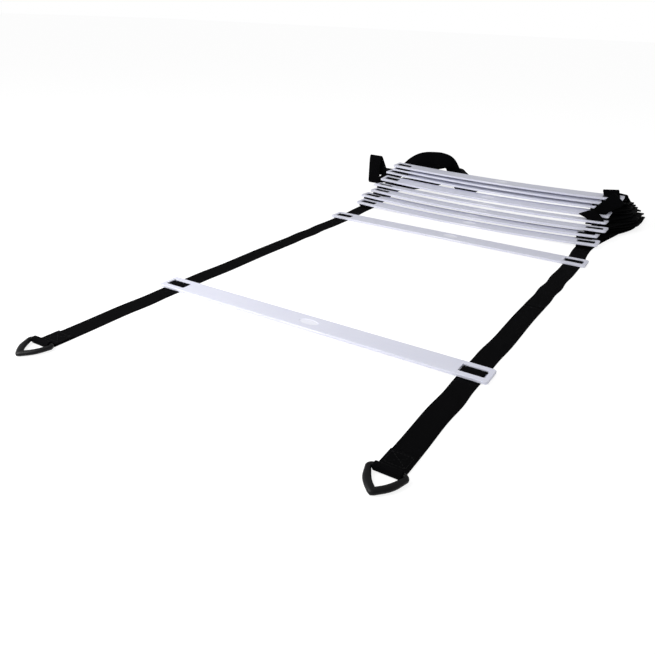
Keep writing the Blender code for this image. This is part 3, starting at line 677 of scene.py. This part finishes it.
def moulded_rung():
    """The straight rung: windows and recess cut out, then every cut edge given a small fillet."""
    body = add_object("rung blank", rung_blank())
    helpers = [body]
    for cutter in (window_cutter(-WINDOW_CENTRE), window_cutter(WINDOW_CENTRE), recess_cutter()):
        helper = add_object(cutter.name, cutter)
        cut = body.modifiers.new(cutter.name, "BOOLEAN")
        cut.object = helper
        cut.solver = "EXACT"
        helpers.append(helper)
    fillet = body.modifiers.new("fillet", "BEVEL")
    fillet.width = MOULD_FILLET
    fillet.segments = FILLET_SEGMENTS
    fillet.limit_method = "ANGLE"
    fillet.angle_limit = math.radians(FILLET_ANGLE_DEG)
    bpy.context.view_layer.update()
    mesh = bpy.data.meshes.new_from_object(
        body.evaluated_get(bpy.context.evaluated_depsgraph_get()))
    for helper in helpers:
        bpy.data.objects.remove(helper, do_unlink=True)
    shape = bmesh.new()
    shape.from_mesh(mesh)
    span = RUNG_LENGTH / 2 - RUNG_CORNER_RADIUS
    for x in np.linspace(-span, span, BOW_CUTS):
        everything = [*shape.verts, *shape.edges, *shape.faces]
        bmesh.ops.bisect_plane(shape, geom=everything, dist=TINY / 100,
                               plane_co=(x, 0.0, 0.0), plane_no=(1.0, 0.0, 0.0))
    shape.to_mesh(mesh)
    shape.free()
    level = RUNG_THICKNESS - RECESS_DEPTH
    sunk = mesh.attributes.new("recess", "FLOAT", "POINT")
    for vert, mark in zip(mesh.vertices, sunk.data):
        mark.value = float(abs(vert.co.z - level) < MOULD_FILLET and abs(vert.co.x) < RECESS_LENGTH)
    return mesh


def make_rung(number, straight, place, material):
    """The straight rung, bowed and laid at its place."""
    name = f"rung_{number:02d}"
    mesh = straight.copy()
    for vert in mesh.vertices:
        vert.co.z += place.bow * (2 * vert.co.x / RUNG_LENGTH) ** 2
    turn = Matrix.Rotation(place.yaw, 4, "Z") @ Matrix.Rotation(place.tilt, 4, "X")
    mesh.transform(Matrix.Translation((place.x, place.y, place.z)) @ turn)
    mesh.shade_smooth()
    rung = new_piece(f"moulded_{name}", mesh, material)
    even = rung.modifiers.new("even normals", "WEIGHTED_NORMAL")
    even.weight = NORMAL_WEIGHT
    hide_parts(name)
    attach(rung, name)


# Webbing as a strip between two edge lines

def section():
    """Points round the webbing's section: (share of half the width, share of half the thickness)."""
    rounded = []
    for step in range(SECTION_STEPS + 1):
        angle = math.pi / 2 * step / SECTION_STEPS
        rounded.append((1 - SELVEDGE / HALF_WEBBING * (1 - math.sin(angle)), math.cos(angle)))
    flat = [(share, 1.0) for share in SECTION_SHARES]
    right = flat + rounded
    upper = [(-across, height) for across, height in right[:0:-1]] + right
    return np.array(upper + [(across, -height) for across, height in upper[-2:0:-1]])


def webbing_mesh(name, stations):
    """A closed strip of webbing with round selvedges, whose middle surface joins the stations."""
    first = np.array([station[0] for station in stations])
    second = np.array([station[1] for station in stations])
    middle = (first + second) / 2
    steps = unit(np.diff(middle, axis=0))
    before = np.vstack([steps[:1], steps])
    after = np.vstack([steps, steps[-1:]])
    tangent = unit(before + after)
    half = (second - first) / 2
    lift = unit(np.cross(half, tangent)) * HALF_THICKNESS
    ring = section()
    points = (middle[:, None] + ring[None, :, :1] * half[:, None]
              + ring[None, :, 1:] * lift[:, None])
    count = len(ring)
    index = np.arange(len(stations) * count).reshape(-1, count)
    ends = [index[0, ::-1].tolist(), index[-1].tolist()]
    mesh = closed_mesh(name, points, tube_faces(index) + ends)
    along = np.concatenate([[0.0], np.cumsum(np.linalg.norm(np.diff(middle, axis=0), axis=1))])
    place = np.empty((len(stations), count, 2))
    place[:, :, 0] = (ring[:, 0] + 1) / 2
    place[:, :, 1] = (along / WEBBING_WIDTH)[:, None]
    place = place.reshape(-1, 2)
    corners = np.empty(len(mesh.loops), np.int32)
    mesh.loops.foreach_get("vertex_index", corners)
    mesh.uv_layers.new(name="UVMap").data.foreach_set("uv", place[corners].ravel())
    return mesh


def webbing_piece(side_name, part, stations, material, node_part=None):
    """A part of one side's webbing, in place of the strap node of that part or of node_part."""
    name = f"webbing_{side_name}_{part}"
    piece = new_piece(name, webbing_mesh(name, stations), material)
    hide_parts(f"strap_{side_name}_{node_part or part}")
    return piece


def flat_stations(x, y, z):
    """Edge points of webbing that runs along Y at the given middle points."""
    return [((x_at - HALF_WEBBING, y_at, z_at), (x_at + HALF_WEBBING, y_at, z_at))
            for x_at, y_at, z_at in zip(x, y, z)]


def rung_stations(place, side, route):
    """Edge points of webbing that follows (y, height, lean) points in a rung's own frame.
    Webbing that leans is turned as well, by LEAN_TURN radians for each metre of lean."""
    middle = side * WINDOW_CENTRE
    stations = []
    for y, height, lean in route:
        turn = LEAN_TURN * lean
        across, down = HALF_WEBBING * math.cos(turn), HALF_WEBBING * math.sin(turn)
        stations.append((on_rung(place, middle + lean - across, y, height + down),
                         on_rung(place, middle + lean + across, y, height - down)))
    return stations


def between(start, end):
    """Stations from one to the other in even steps."""
    start, end = np.array(start, float), np.array(end, float)
    length = np.linalg.norm((end - start).mean(axis=0))
    count = max(int(round(length / FLAT_STATION)), 2)
    return [start + (end - start) * step / count for step in range(count + 1)]


def bar_route(loop=None):
    """From the middle of the centre bar's top, down the far slot's wall and under the far rim.
    Points are (y, height, lean), and a loop first stands up over the bar."""
    rim = WINDOW_WIDTH / 2
    wall = rim + UNDER_RIM
    corner = UNDER_RIM * math.sqrt(0.5)
    if loop:
        rise = loop_route(*loop) + [(wall, LOOP_SLOT_LEVEL, 0.0)]
    else:
        rise = [(NODE_GAP / 2, OVER_BAR, 0.0), (wall - WEBBING_THICKNESS, OVER_BAR, 0.0),
                (wall, OVER_BAR - WEBBING_THICKNESS, 0.0)]
    return rise + [(wall, 0.0, 0.0), (rim + corner, corner, 0.0), (rim, UNDER_RIM, 0.0),
                   (RUNG_WIDTH / 2, UNDER_RIM, 0.0)]


def loop_route(lean, height):
    """One leg of a standing loop, from the middle of its round top to its foot."""
    top = OVER_BAR + height
    radius = LOOP_LEG_REACH - WEBBING_THICKNESS
    route = [(NODE_GAP / 2, top),
             *arc((WEBBING_THICKNESS, top - radius), radius, 90, 0, LOOP_STEPS),
             (LOOP_LEG_REACH, LOOP_LEG_FOOT)]
    return [(y, z, lean * (z - LOOP_LEG_FOOT) / (top - LOOP_LEG_FOOT)) for y, z in route]


def through_rung(route, number, side_name, place):
    """Stations on one of the routes through a piled rung, with its loop where it has one."""
    points = route(WINDOW_LOOPS.get((number, side_name)))
    return rung_stations(place, SIDES[side_name], eased(points))


def weave_route():
    """From the near side of a laid rung to its far side, over the centre bar."""
    far = bar_route()[1:-1] + [(RUNG_WIDTH / 2 + WEAVE_OVERHANG, UNDER_RIM, 0.0)]
    return [(-y, height, lean) for y, height, lean in far[::-1]] + far


def arrival_route(loop):
    """Under a piled rung from behind, round at its near rim and up to the centre bar."""
    start = -RUNG_WIDTH / 2 + WEBBING_THICKNESS
    radius = WEB_STEP / 2
    turn = arc((start, UNDER_WEAVE + radius), radius, -90, -270, TURN_STEPS)
    route = [(RUNG_WIDTH / 2, UNDER_WEAVE), (0.0, UNDER_WEAVE), *turn]
    return [(y, height, 0.0) for y, height in route] + [
        (-y, height, lean) for y, height, lean in bar_route(loop)[-2::-1]]


# Folds behind the pile

def tip_distance(bay):
    return PILE_DISTANCE + TIP_REACHES[bay - FIRST_BAY]


def layer_weight(bay, y):
    """1 where this bay's fold lies, and 0 past its tip."""
    past = y - tip_distance(bay) - LAYER_SPACING
    return 1 - smooth_step(past / TIP_RAMP)


def packed_height(bay, y):
    """Height of this bay's lower layer if every fold lay flat on the one below."""
    height = HALF_THICKNESS + FLOOR_PLAY
    for under in range(FIRST_BAY, bay):
        height += 2 * LAYER_STEP * layer_weight(under, y)
    return height


def lower_layer(bay, side, y):
    """Height of the bay's lower layer behind the pile, airy near it and packed at the back."""
    wanted = LAYER_HEIGHTS[side][bay - FIRST_BAY] - LAYER_STEP / 2
    air = wanted - packed_height(bay, FALL_DISTANCE)
    fade = 1 - smooth_step((y - FALL_DISTANCE) / FALL_LENGTH)
    return packed_height(bay, y) + max(air, 0.0) * fade


def layer_station(bay, side, start, y, rise):
    """Edge points on one layer, fanned outward from the rung window where it starts."""
    def middle_x(at):
        outer = side * (WINDOW_CENTRE + FANS[side][bay - FIRST_BAY])
        run = max(FALL_DISTANCE - start[1], FAN_LEAST_RUNS[side])
        return start[0] + (outer - start[0]) * smooth_step((at - start[1]) / run)

    def height(at):
        share = smooth_step((at - start[1]) / max(FALL_DISTANCE - start[1], LEVEL_RUN))
        return start[2] + share * (lower_layer(bay, side, at) + rise - start[2])

    heading = math.atan((middle_x(y + TINY) - middle_x(y - TINY)) / (2 * TINY))
    across = HALF_WEBBING * np.array([math.cos(heading), -math.sin(heading)])
    slope = start[3] * (1 - smooth_step((y - start[1]) / LEVEL_RUN))
    edges = []
    for sign in (-1, 1):
        x_at = middle_x(y) + sign * across[0]
        y_at = y + sign * across[1]
        tilt = slope * sign * across[0]
        edges.append((x_at, y_at, height(y_at) + tilt))
    return tuple(edges)


def start_of(stations):
    """Middle of the last station and its slope across the webbing."""
    first, second = (np.array(edge) for edge in stations[-1])
    middle = (first + second) / 2
    return (*middle, (second[2] - first[2]) / (second[0] - first[0]))


def layer_run(bay, side, start, rise):
    """Stations on one layer from behind its rung to the fold's tip, at the same places on all."""
    tip = tip_distance(bay)
    places = [start[1] + LEVEL_START * third / 3 for third in (1, 2, 3)]
    spacing = LAYER_SPACING / LAYER_STATIONS
    first = math.ceil((places[-1] + LAYER_MARGIN) / spacing)
    last = math.floor((tip - LAYER_MARGIN) / spacing)
    places += [spacing * step for step in range(first, last + 1)] + [tip]
    return [layer_station(bay, side, start, y, rise) for y in places]


def fold_turn(out_end, back_end):
    """The fold's tip, from the end of the lower layer to the end of the upper one."""
    out_end, back_end = np.array(out_end), np.array(back_end)
    turn = []
    for angle in np.linspace(0.0, math.pi, TURN_STEPS + 1)[1:]:
        at = out_end + (1 - math.cos(angle)) / 2 * (back_end - out_end)
        at[:, 1] += LAYER_STEP / 2 * math.sin(angle)
        turn.append(tuple(map(tuple, at)))
    return turn


def on_floor(stations):
    return [[(*edge[:2], HALF_THICKNESS) for edge in edges] for edges in stations]


def make_bay(bay, side_name, places, material):
    """One folded bay: the way out with the fold's tip, and the way back to the rung above."""
    side = SIDES[side_name]
    upper = places[bay + 1]
    below = "webbing" if bay == FIRST_BAY else f"rung_{bay:02d}"
    arrival = through_rung(arrival_route, bay + 1, side_name, upper)
    if bay == FIRST_BAY:
        x, y = pile_front(side, places)
        stations = flat_stations([x], [y + NODE_GAP], [HALF_THICKNESS])
        out = on_floor(layer_run(bay, side, start_of(stations), 0.0))
        stations = between(stations[0], out[0])[:-1]
    else:
        stations = through_rung(bar_route, bay, side_name, places[bay])
        out = layer_run(bay, side, start_of(stations), 0.0)
    node_part = f"fold_{bay:02d}_{bay + 1:02d}"
    if side == LEFT and bay == LOOP_BAY:
        origin = np.array([-WINDOW_CENTRE, start_of(stations)[1], 0.0])
        line = smooth_line(origin + np.array(LOOP_ROUTE_SHARES) * LOOP_HEIGHT)
        split = len(line) - LOOP_BACK_POINTS * ROUTE_STEPS
        stations += flat_stations(*line[:split + 1].T)
        back = flat_stations(*line[split:].T)
    else:
        back = layer_run(bay, side, start_of(arrival[:1]), LAYER_STEP)[::-1]
        stations += out + fold_turn(out[-1], back[0])
    piece = webbing_piece(side_name, f"bay_{bay:02d}_out", stations, material, node_part)
    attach(piece, below)
    piece = webbing_piece(side_name, f"bay_{bay:02d}_back", back + arrival, material, node_part)
    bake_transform(piece)


# Laid out webbing

def across_floor(x, y):
    return flat_stations([x], [y], [HALF_THICKNESS])[0]


def beside_rung(place, side, toward):
    """Edge points just clear of a laid rung's woven piece, in front (-1) or behind (1)."""
    clear = RUNG_WIDTH / 2 + WEAVE_OVERHANG + NODE_GAP
    return rung_stations(place, side, [(toward * clear, UNDER_RIM, 0.0)])[0]


def pile_front(side, places):
    """Where the webbing that lies flat behind the second rung ends, in front of the pile."""
    x = side * WINDOW_CENTRE + places[FIRST_PILED].x
    return x, RUNG_SPACING + RUNG_WIDTH / 2 + WEAVE_OVERHANG + REAR_STRETCH_LENGTH


def wandering(stations):
    """The same flat stretch with edges that stray a little sideways, but not at its two ends."""
    strayed = []
    for step, edges in enumerate(stations):
        calm = math.sin(math.pi * step / (len(stations) - 1))
        moved = []
        for phase, (x, y, z) in enumerate(edges):
            turn = 2 * math.pi * y / WANDER_LENGTH + phase
            stray = WANDER * calm * math.sin(turn + 2 * math.sin(turn / 3))
            moved.append(np.array((x + stray, y, z)))
        strayed.append(tuple(moved))
    return strayed


def make_stretch(side_name, part, start, end, material):
    """A laid out stretch from one end to the other, its edges straying a little sideways."""
    stations = wandering(between(start, end))
    piece = webbing_piece(side_name, part, stations, material)
    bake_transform(piece)


def make_weave(side_name, number, place, material):
    """The webbing's thread through a laid rung."""
    stations = rung_stations(place, SIDES[side_name], eased(weave_route()))
    piece = webbing_piece(side_name, f"weave_{number:02d}", stations, material)
    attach(piece, f"rung_{number:02d}")


def eye_route():
    """Sewn end in (distance, height) from the ring's bar: along the top, round and back."""
    top = HALF_THICKNESS + WEB_STEP
    over = np.linspace(SEWN_OVERLAP, EYE_JOIN_SHARE * EYE_RADIUS, LAP_STEPS + 1)
    back = np.linspace(0.0, SEWN_OVERLAP + WEB_STEP, LAP_STEPS + 1)[1:]
    route = [(distance, top) for distance in over]
    route.append((EYE_RISE_SHARE * EYE_RADIUS, top + EYE_LIFT_SHARE * EYE_RADIUS))
    route += arc((0.0, EYE_HEIGHT), EYE_RADIUS, EYE_START_DEG, 270, EYE_STEPS)
    return route + [(distance, HALF_THICKNESS) for distance in back]


def make_end(side_name, part, place, forward, lift, body, materials, fold=None):
    """Webbing sewn round a ring's bar, and its seam. forward is -1 at the front, 1 at the back.
    fold, when given, leaves the end and its seam unattached with their places baked in; its value is
    not used."""
    x, y = place
    route = eye_route()
    stations = flat_stations([x] * len(route), [y - forward * at for at, _ in route],
                             [height + lift for _, height in route])
    piece = webbing_piece(side_name, part, stations, materials["webbing"])
    mesh = seam_mesh(x, y, forward, lift)
    seam = new_piece(f"seam_{side_name}_{part}", mesh, materials["thread"])
    for sewn in (piece, seam):
        if fold is None:
            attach(sewn, body)
        else:
            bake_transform(sewn)


# Seams

def seam_runs():
    """The straight runs of a boxed cross seam, in (across, distance from the ring's bar)."""
    half = HALF_WEBBING - SEAM_INSET
    near = SEAM_START_SHARE * EYE_RADIUS
    far = SEWN_OVERLAP - SEAM_INSET
    corners = [(-half, near), (half, near), (half, far), (-half, far)]
    box = [(corners[step], corners[(step + 1) % 4]) for step in range(4)]
    return box + [(corners[0], corners[2]), (corners[1], corners[3])]


def seam_mesh(x, y, forward, lift):
    """Stitches as short plump strands that dive into the webbing's top at both ends."""
    shape = bmesh.new()
    top = 2 * WEBBING_THICKNESS + SEAT_GAP
    for start, end in seam_runs():
        start, end = Vector(start), Vector(end)
        run = end - start
        count = int(run.length / (STITCH_LENGTH + STITCH_GAP))
        for step in range(count):
            middle = start + run * (step + 0.5) / count
            place = (x + middle.x, y - forward * middle.y, top + lift)
            heading = math.atan2(-forward * run.y, run.x)
            add_stitch(shape, place, heading)
    mesh = mesh_of(shape, "seam")
    mesh.shade_smooth()
    return mesh


def add_stitch(shape, place, heading):
    """One strand: a half sunk spindle along its heading."""
    turn = Matrix.Rotation(heading, 4, "Z")
    size = Matrix.Diagonal((STITCH_LENGTH / 2, STITCH_WIDTH / 2, STITCH_WIDTH / 2, 1.0))
    bmesh.ops.create_uvsphere(shape, u_segments=STITCH_SIDES, v_segments=STITCH_RINGS, radius=1.0,
                              matrix=Matrix.Translation(place) @ turn @ size)


# Rings

def ring_outline():
    """Half of the ring's centre line, from its bar's end round to its tip."""
    centre = (RING_HALF_WIDTH - RING_CORNER_RADIUS, RING_CORNER_RADIUS)
    points = arc(centre, RING_CORNER_RADIUS, -90, 0, RING_CORNER_STEPS)
    leg = eased([points[-1], RING_SHOULDER, (0.0, RING_DEPTH)])
    return points + [tuple(point) for point in leg[1:]]


def make_ring(name, place, forward, lift, material):
    """A moulded ring of five sides, thickest at its tip, lying with the tip on the floor."""
    half = ring_outline()
    line = np.array(half + [(-x, depth) for x, depth in half[-2::-1]])
    ahead = np.roll(line, -1, axis=0) - line
    behind = line - np.roll(line, 1, axis=0)
    tangent = unit(unit(ahead) + unit(behind))
    outward = np.stack([tangent[:, 1], -tangent[:, 0]], axis=1)
    angles = np.linspace(0.0, 2 * math.pi, RING_SIDES, endpoint=False)
    leg = smooth_step(line[:, 1] / RING_SHOULDER[1])
    wide = RING_BAR_RADIUS + leg * (RING_LEG_RADIUS - RING_BAR_RADIUS)
    flat = line[:, None] + (wide[:, None] * np.cos(angles))[:, :, None] * outward[:, None]
    points = np.dstack([flat[:, :, 0], forward * flat[:, :, 1],
                        np.broadcast_to(RING_BAR_RADIUS * np.sin(angles), flat.shape[:2])])
    index = np.arange(points.shape[0] * RING_SIDES).reshape(-1, RING_SIDES)
    mesh = closed_mesh(name, points, tube_faces(np.vstack([index, index[:1]])))
    droop = math.asin((EYE_HEIGHT - RING_BAR_RADIUS) / RING_DEPTH)
    turn = Matrix.Rotation(-forward * droop, 4, "X")
    mesh.transform(Matrix.Translation((*place, EYE_HEIGHT + lift)) @ turn)
    ring = new_piece(f"moulded_{name}", mesh, material)
    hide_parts(name)
    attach(ring, name)


# Loose ends

def tail_line(stations, shares, end):
    """A smooth line from the webbing's last station to the end, through points in shares of
    END_LENGTH along the floor and of the height at which the tail leaves."""
    leave = np.array(start_of(stations)[:3])
    foot = np.array([leave[0], leave[1], 0.0])
    route = foot + np.array(shares) * (END_LENGTH, END_LENGTH, leave[2])
    return smooth_line(np.vstack([leave, route, end]))[1:]


def tail_turns(turns_deg):
    """The turns in radians at the points of a tail's line."""
    return np.radians(smooth_line([(turn,) for turn in turns_deg])[1:, 0])


def rear_ring_place(side_name):
    """Middle of the bar of the ring behind the pile, where the frame has it."""
    low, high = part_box(f"ring_rear_{side_name}")
    return (low.x + high.x) / 2 - ORIGIN.x, low.y + RING_BAR_RADIUS - ORIGIN.y


def left_tail(stations, end):
    """Twists on to its edge, arches behind the pile and comes down again to the floor."""
    line = tail_line(stations, LEFT_TAIL_ROUTE_SHARES, end)
    headings = unit(np.gradient(line, axis=0))
    widths = []
    for turn, heading in zip(tail_turns((0.0, *LEFT_TAIL_TURNS_DEG, 180.0)), headings):
        wanted = np.array([math.cos(turn), -LEFT_TAIL_LEAN * math.sin(turn), -math.sin(turn)])
        widths.append(unit(wanted - heading * (wanted @ heading)))
    widths[-1] = np.array([-1.0, 0.0, 0.0])
    return line, widths


def right_tail(stations, end):
    """Humps over the folds behind the pile and runs down to the floor inside them."""
    line = tail_line(stations, RIGHT_TAIL_ROUTE_SHARES, end)
    turns = tail_turns((0.0, *RIGHT_TAIL_TURNS_DEG, 0.0))
    return line, [np.array([math.cos(turn), math.sin(turn), 0.0]) for turn in turns]


def make_tail(side_name, place, end, material):
    """The loose end past the last rung, as far as its sewn ring end."""
    end = np.array([*end, HALF_THICKNESS + FLOOR_PLAY])
    stations = through_rung(bar_route, LAST_RUNG, side_name, place)
    tail = left_tail if side_name == "left" else right_tail
    for at, across in zip(*tail(stations, end)):
        stations.append((at - HALF_WEBBING * across, at + HALF_WEBBING * across))
    piece = webbing_piece(side_name, "tail", stations, material)
    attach(piece, f"rung_{LAST_RUNG:02d}")


def make_side(side_name, places, materials):
    """One webbing from its front ring to its rear one."""
    side = SIDES[side_name]
    webbing = materials["webbing"]
    x = side * WINDOW_CENTRE
    lap = SEWN_OVERLAP + WEB_STEP
    middle = x + places[2].x / 2
    half_way = RUNG_SPACING / 2
    front = -END_LENGTH - (LEFT_END_EXTRA if side == LEFT else 0.0)
    make_end(side_name, "front_end", (x, front), -1, 0.0, "webbing", materials,
             fold=-END_LENGTH if side == LEFT else None)
    laid = {
        1: ("front_stretch", (x, front + lap + NODE_GAP), "middle_front", (middle, half_way)),
        2: ("middle_rear", (middle, half_way + NODE_GAP), "rear_stretch",
            pile_front(side, places)),
    }
    for number, (before, start, after, end) in laid.items():
        place = places[number]
        make_stretch(side_name, before, across_floor(*start), beside_rung(place, side, -1),
                     webbing)
        make_weave(side_name, number, place, webbing)
        make_stretch(side_name, after, beside_rung(place, side, 1), across_floor(*end),
                     webbing)
    for bay in range(FIRST_BAY, LAST_RUNG):
        make_bay(bay, side_name, places, webbing)
    rear = rear_ring_place(side_name)
    make_tail(side_name, places[LAST_RUNG], (rear[0], rear[1] - lap - NODE_GAP), webbing)
    make_end(side_name, "rear_end", rear, 1, FLOOR_PLAY, f"rung_{LAST_RUNG:02d}", materials)
    make_ring(f"ring_front_{side_name}", (x, front), -1, 0.0, materials["ring"])
    make_ring(f"ring_rear_{side_name}", rear, 1, FLOOR_PLAY, materials["ring"])


# Studio

def make_camera():
    """Where the photograph was taken from."""
    camera = add_object("camera", bpy.data.cameras.new("camera"))
    camera.data.lens = CAMERA_LENS_MM
    camera.data.sensor_width = SENSOR_MM
    camera.data.clip_start = CAMERA_NEAREST
    turn = Matrix()
    for angle, axis in ((CAMERA_YAW_DEG, "Z"), (90 - CAMERA_PITCH_DEG, "X"),
                        (CAMERA_ROLL_DEG, "Z")):
        turn = turn @ Matrix.Rotation(math.radians(angle), 4, axis)
    camera.matrix_world = Matrix.Translation(Vector(CAMERA_PLACE) + ORIGIN) @ turn
    bpy.context.scene.camera = camera


def make_floor():
    """A wide sheet of paper under the ladder."""
    shape = bmesh.new()
    bmesh.ops.create_grid(shape, x_segments=FLOOR_CELLS, y_segments=FLOOR_CELLS,
                          size=FLOOR_SIZE)
    floor = add_object("floor", mesh_of(shape, "floor"))
    floor.data.materials.append(floor_paper())


def make_light():
    """White surroundings, two large soft panels above and a nearer one low in front."""
    world = bpy.data.worlds.new("studio")
    world.use_nodes = True
    tree = world.node_tree
    background = tree.nodes["Background"]
    path = tree.nodes.new("ShaderNodeLightPath")
    strength = tree.nodes.new("ShaderNodeMapRange")
    strength.inputs["To Min"].default_value = WORLD_STRENGTHS[0]
    strength.inputs["To Max"].default_value = WORLD_STRENGTHS[1]
    tree.links.new(path.outputs["Is Camera Ray"], strength.inputs["Value"])
    tree.links.new(strength.outputs["Result"], background.inputs["Strength"])
    background.inputs["Color"].default_value = (*WHITE, 1.0)
    bpy.context.scene.world = world
    for name, (place, target, size, power) in LAMPS.items():
        lamp = bpy.data.lights.new(name, "AREA")
        lamp.size = size
        lamp.energy = power
        panel = add_object(name, lamp)
        panel.location = place
        aim = Vector(target) - Vector(place)
        panel.rotation_euler = aim.to_track_quat("-Z", "Y").to_euler()


def main():
    """Studio, materials, rungs and the two webbings."""
    make_camera()
    make_light()
    make_floor()
    bpy.context.scene.view_settings.view_transform = "Standard"
    materials = {"rung": rung_plastic(), "webbing": woven_webbing(), "ring": ring_plastic(),
                 "thread": seam_thread()}
    places = rung_places()
    straight = moulded_rung()
    for number, place in places.items():
        make_rung(number, straight, place, materials["rung"])
    for side_name in SIDES:
        make_side(side_name, places, materials)
    bpy.context.view_layer.update()


main()
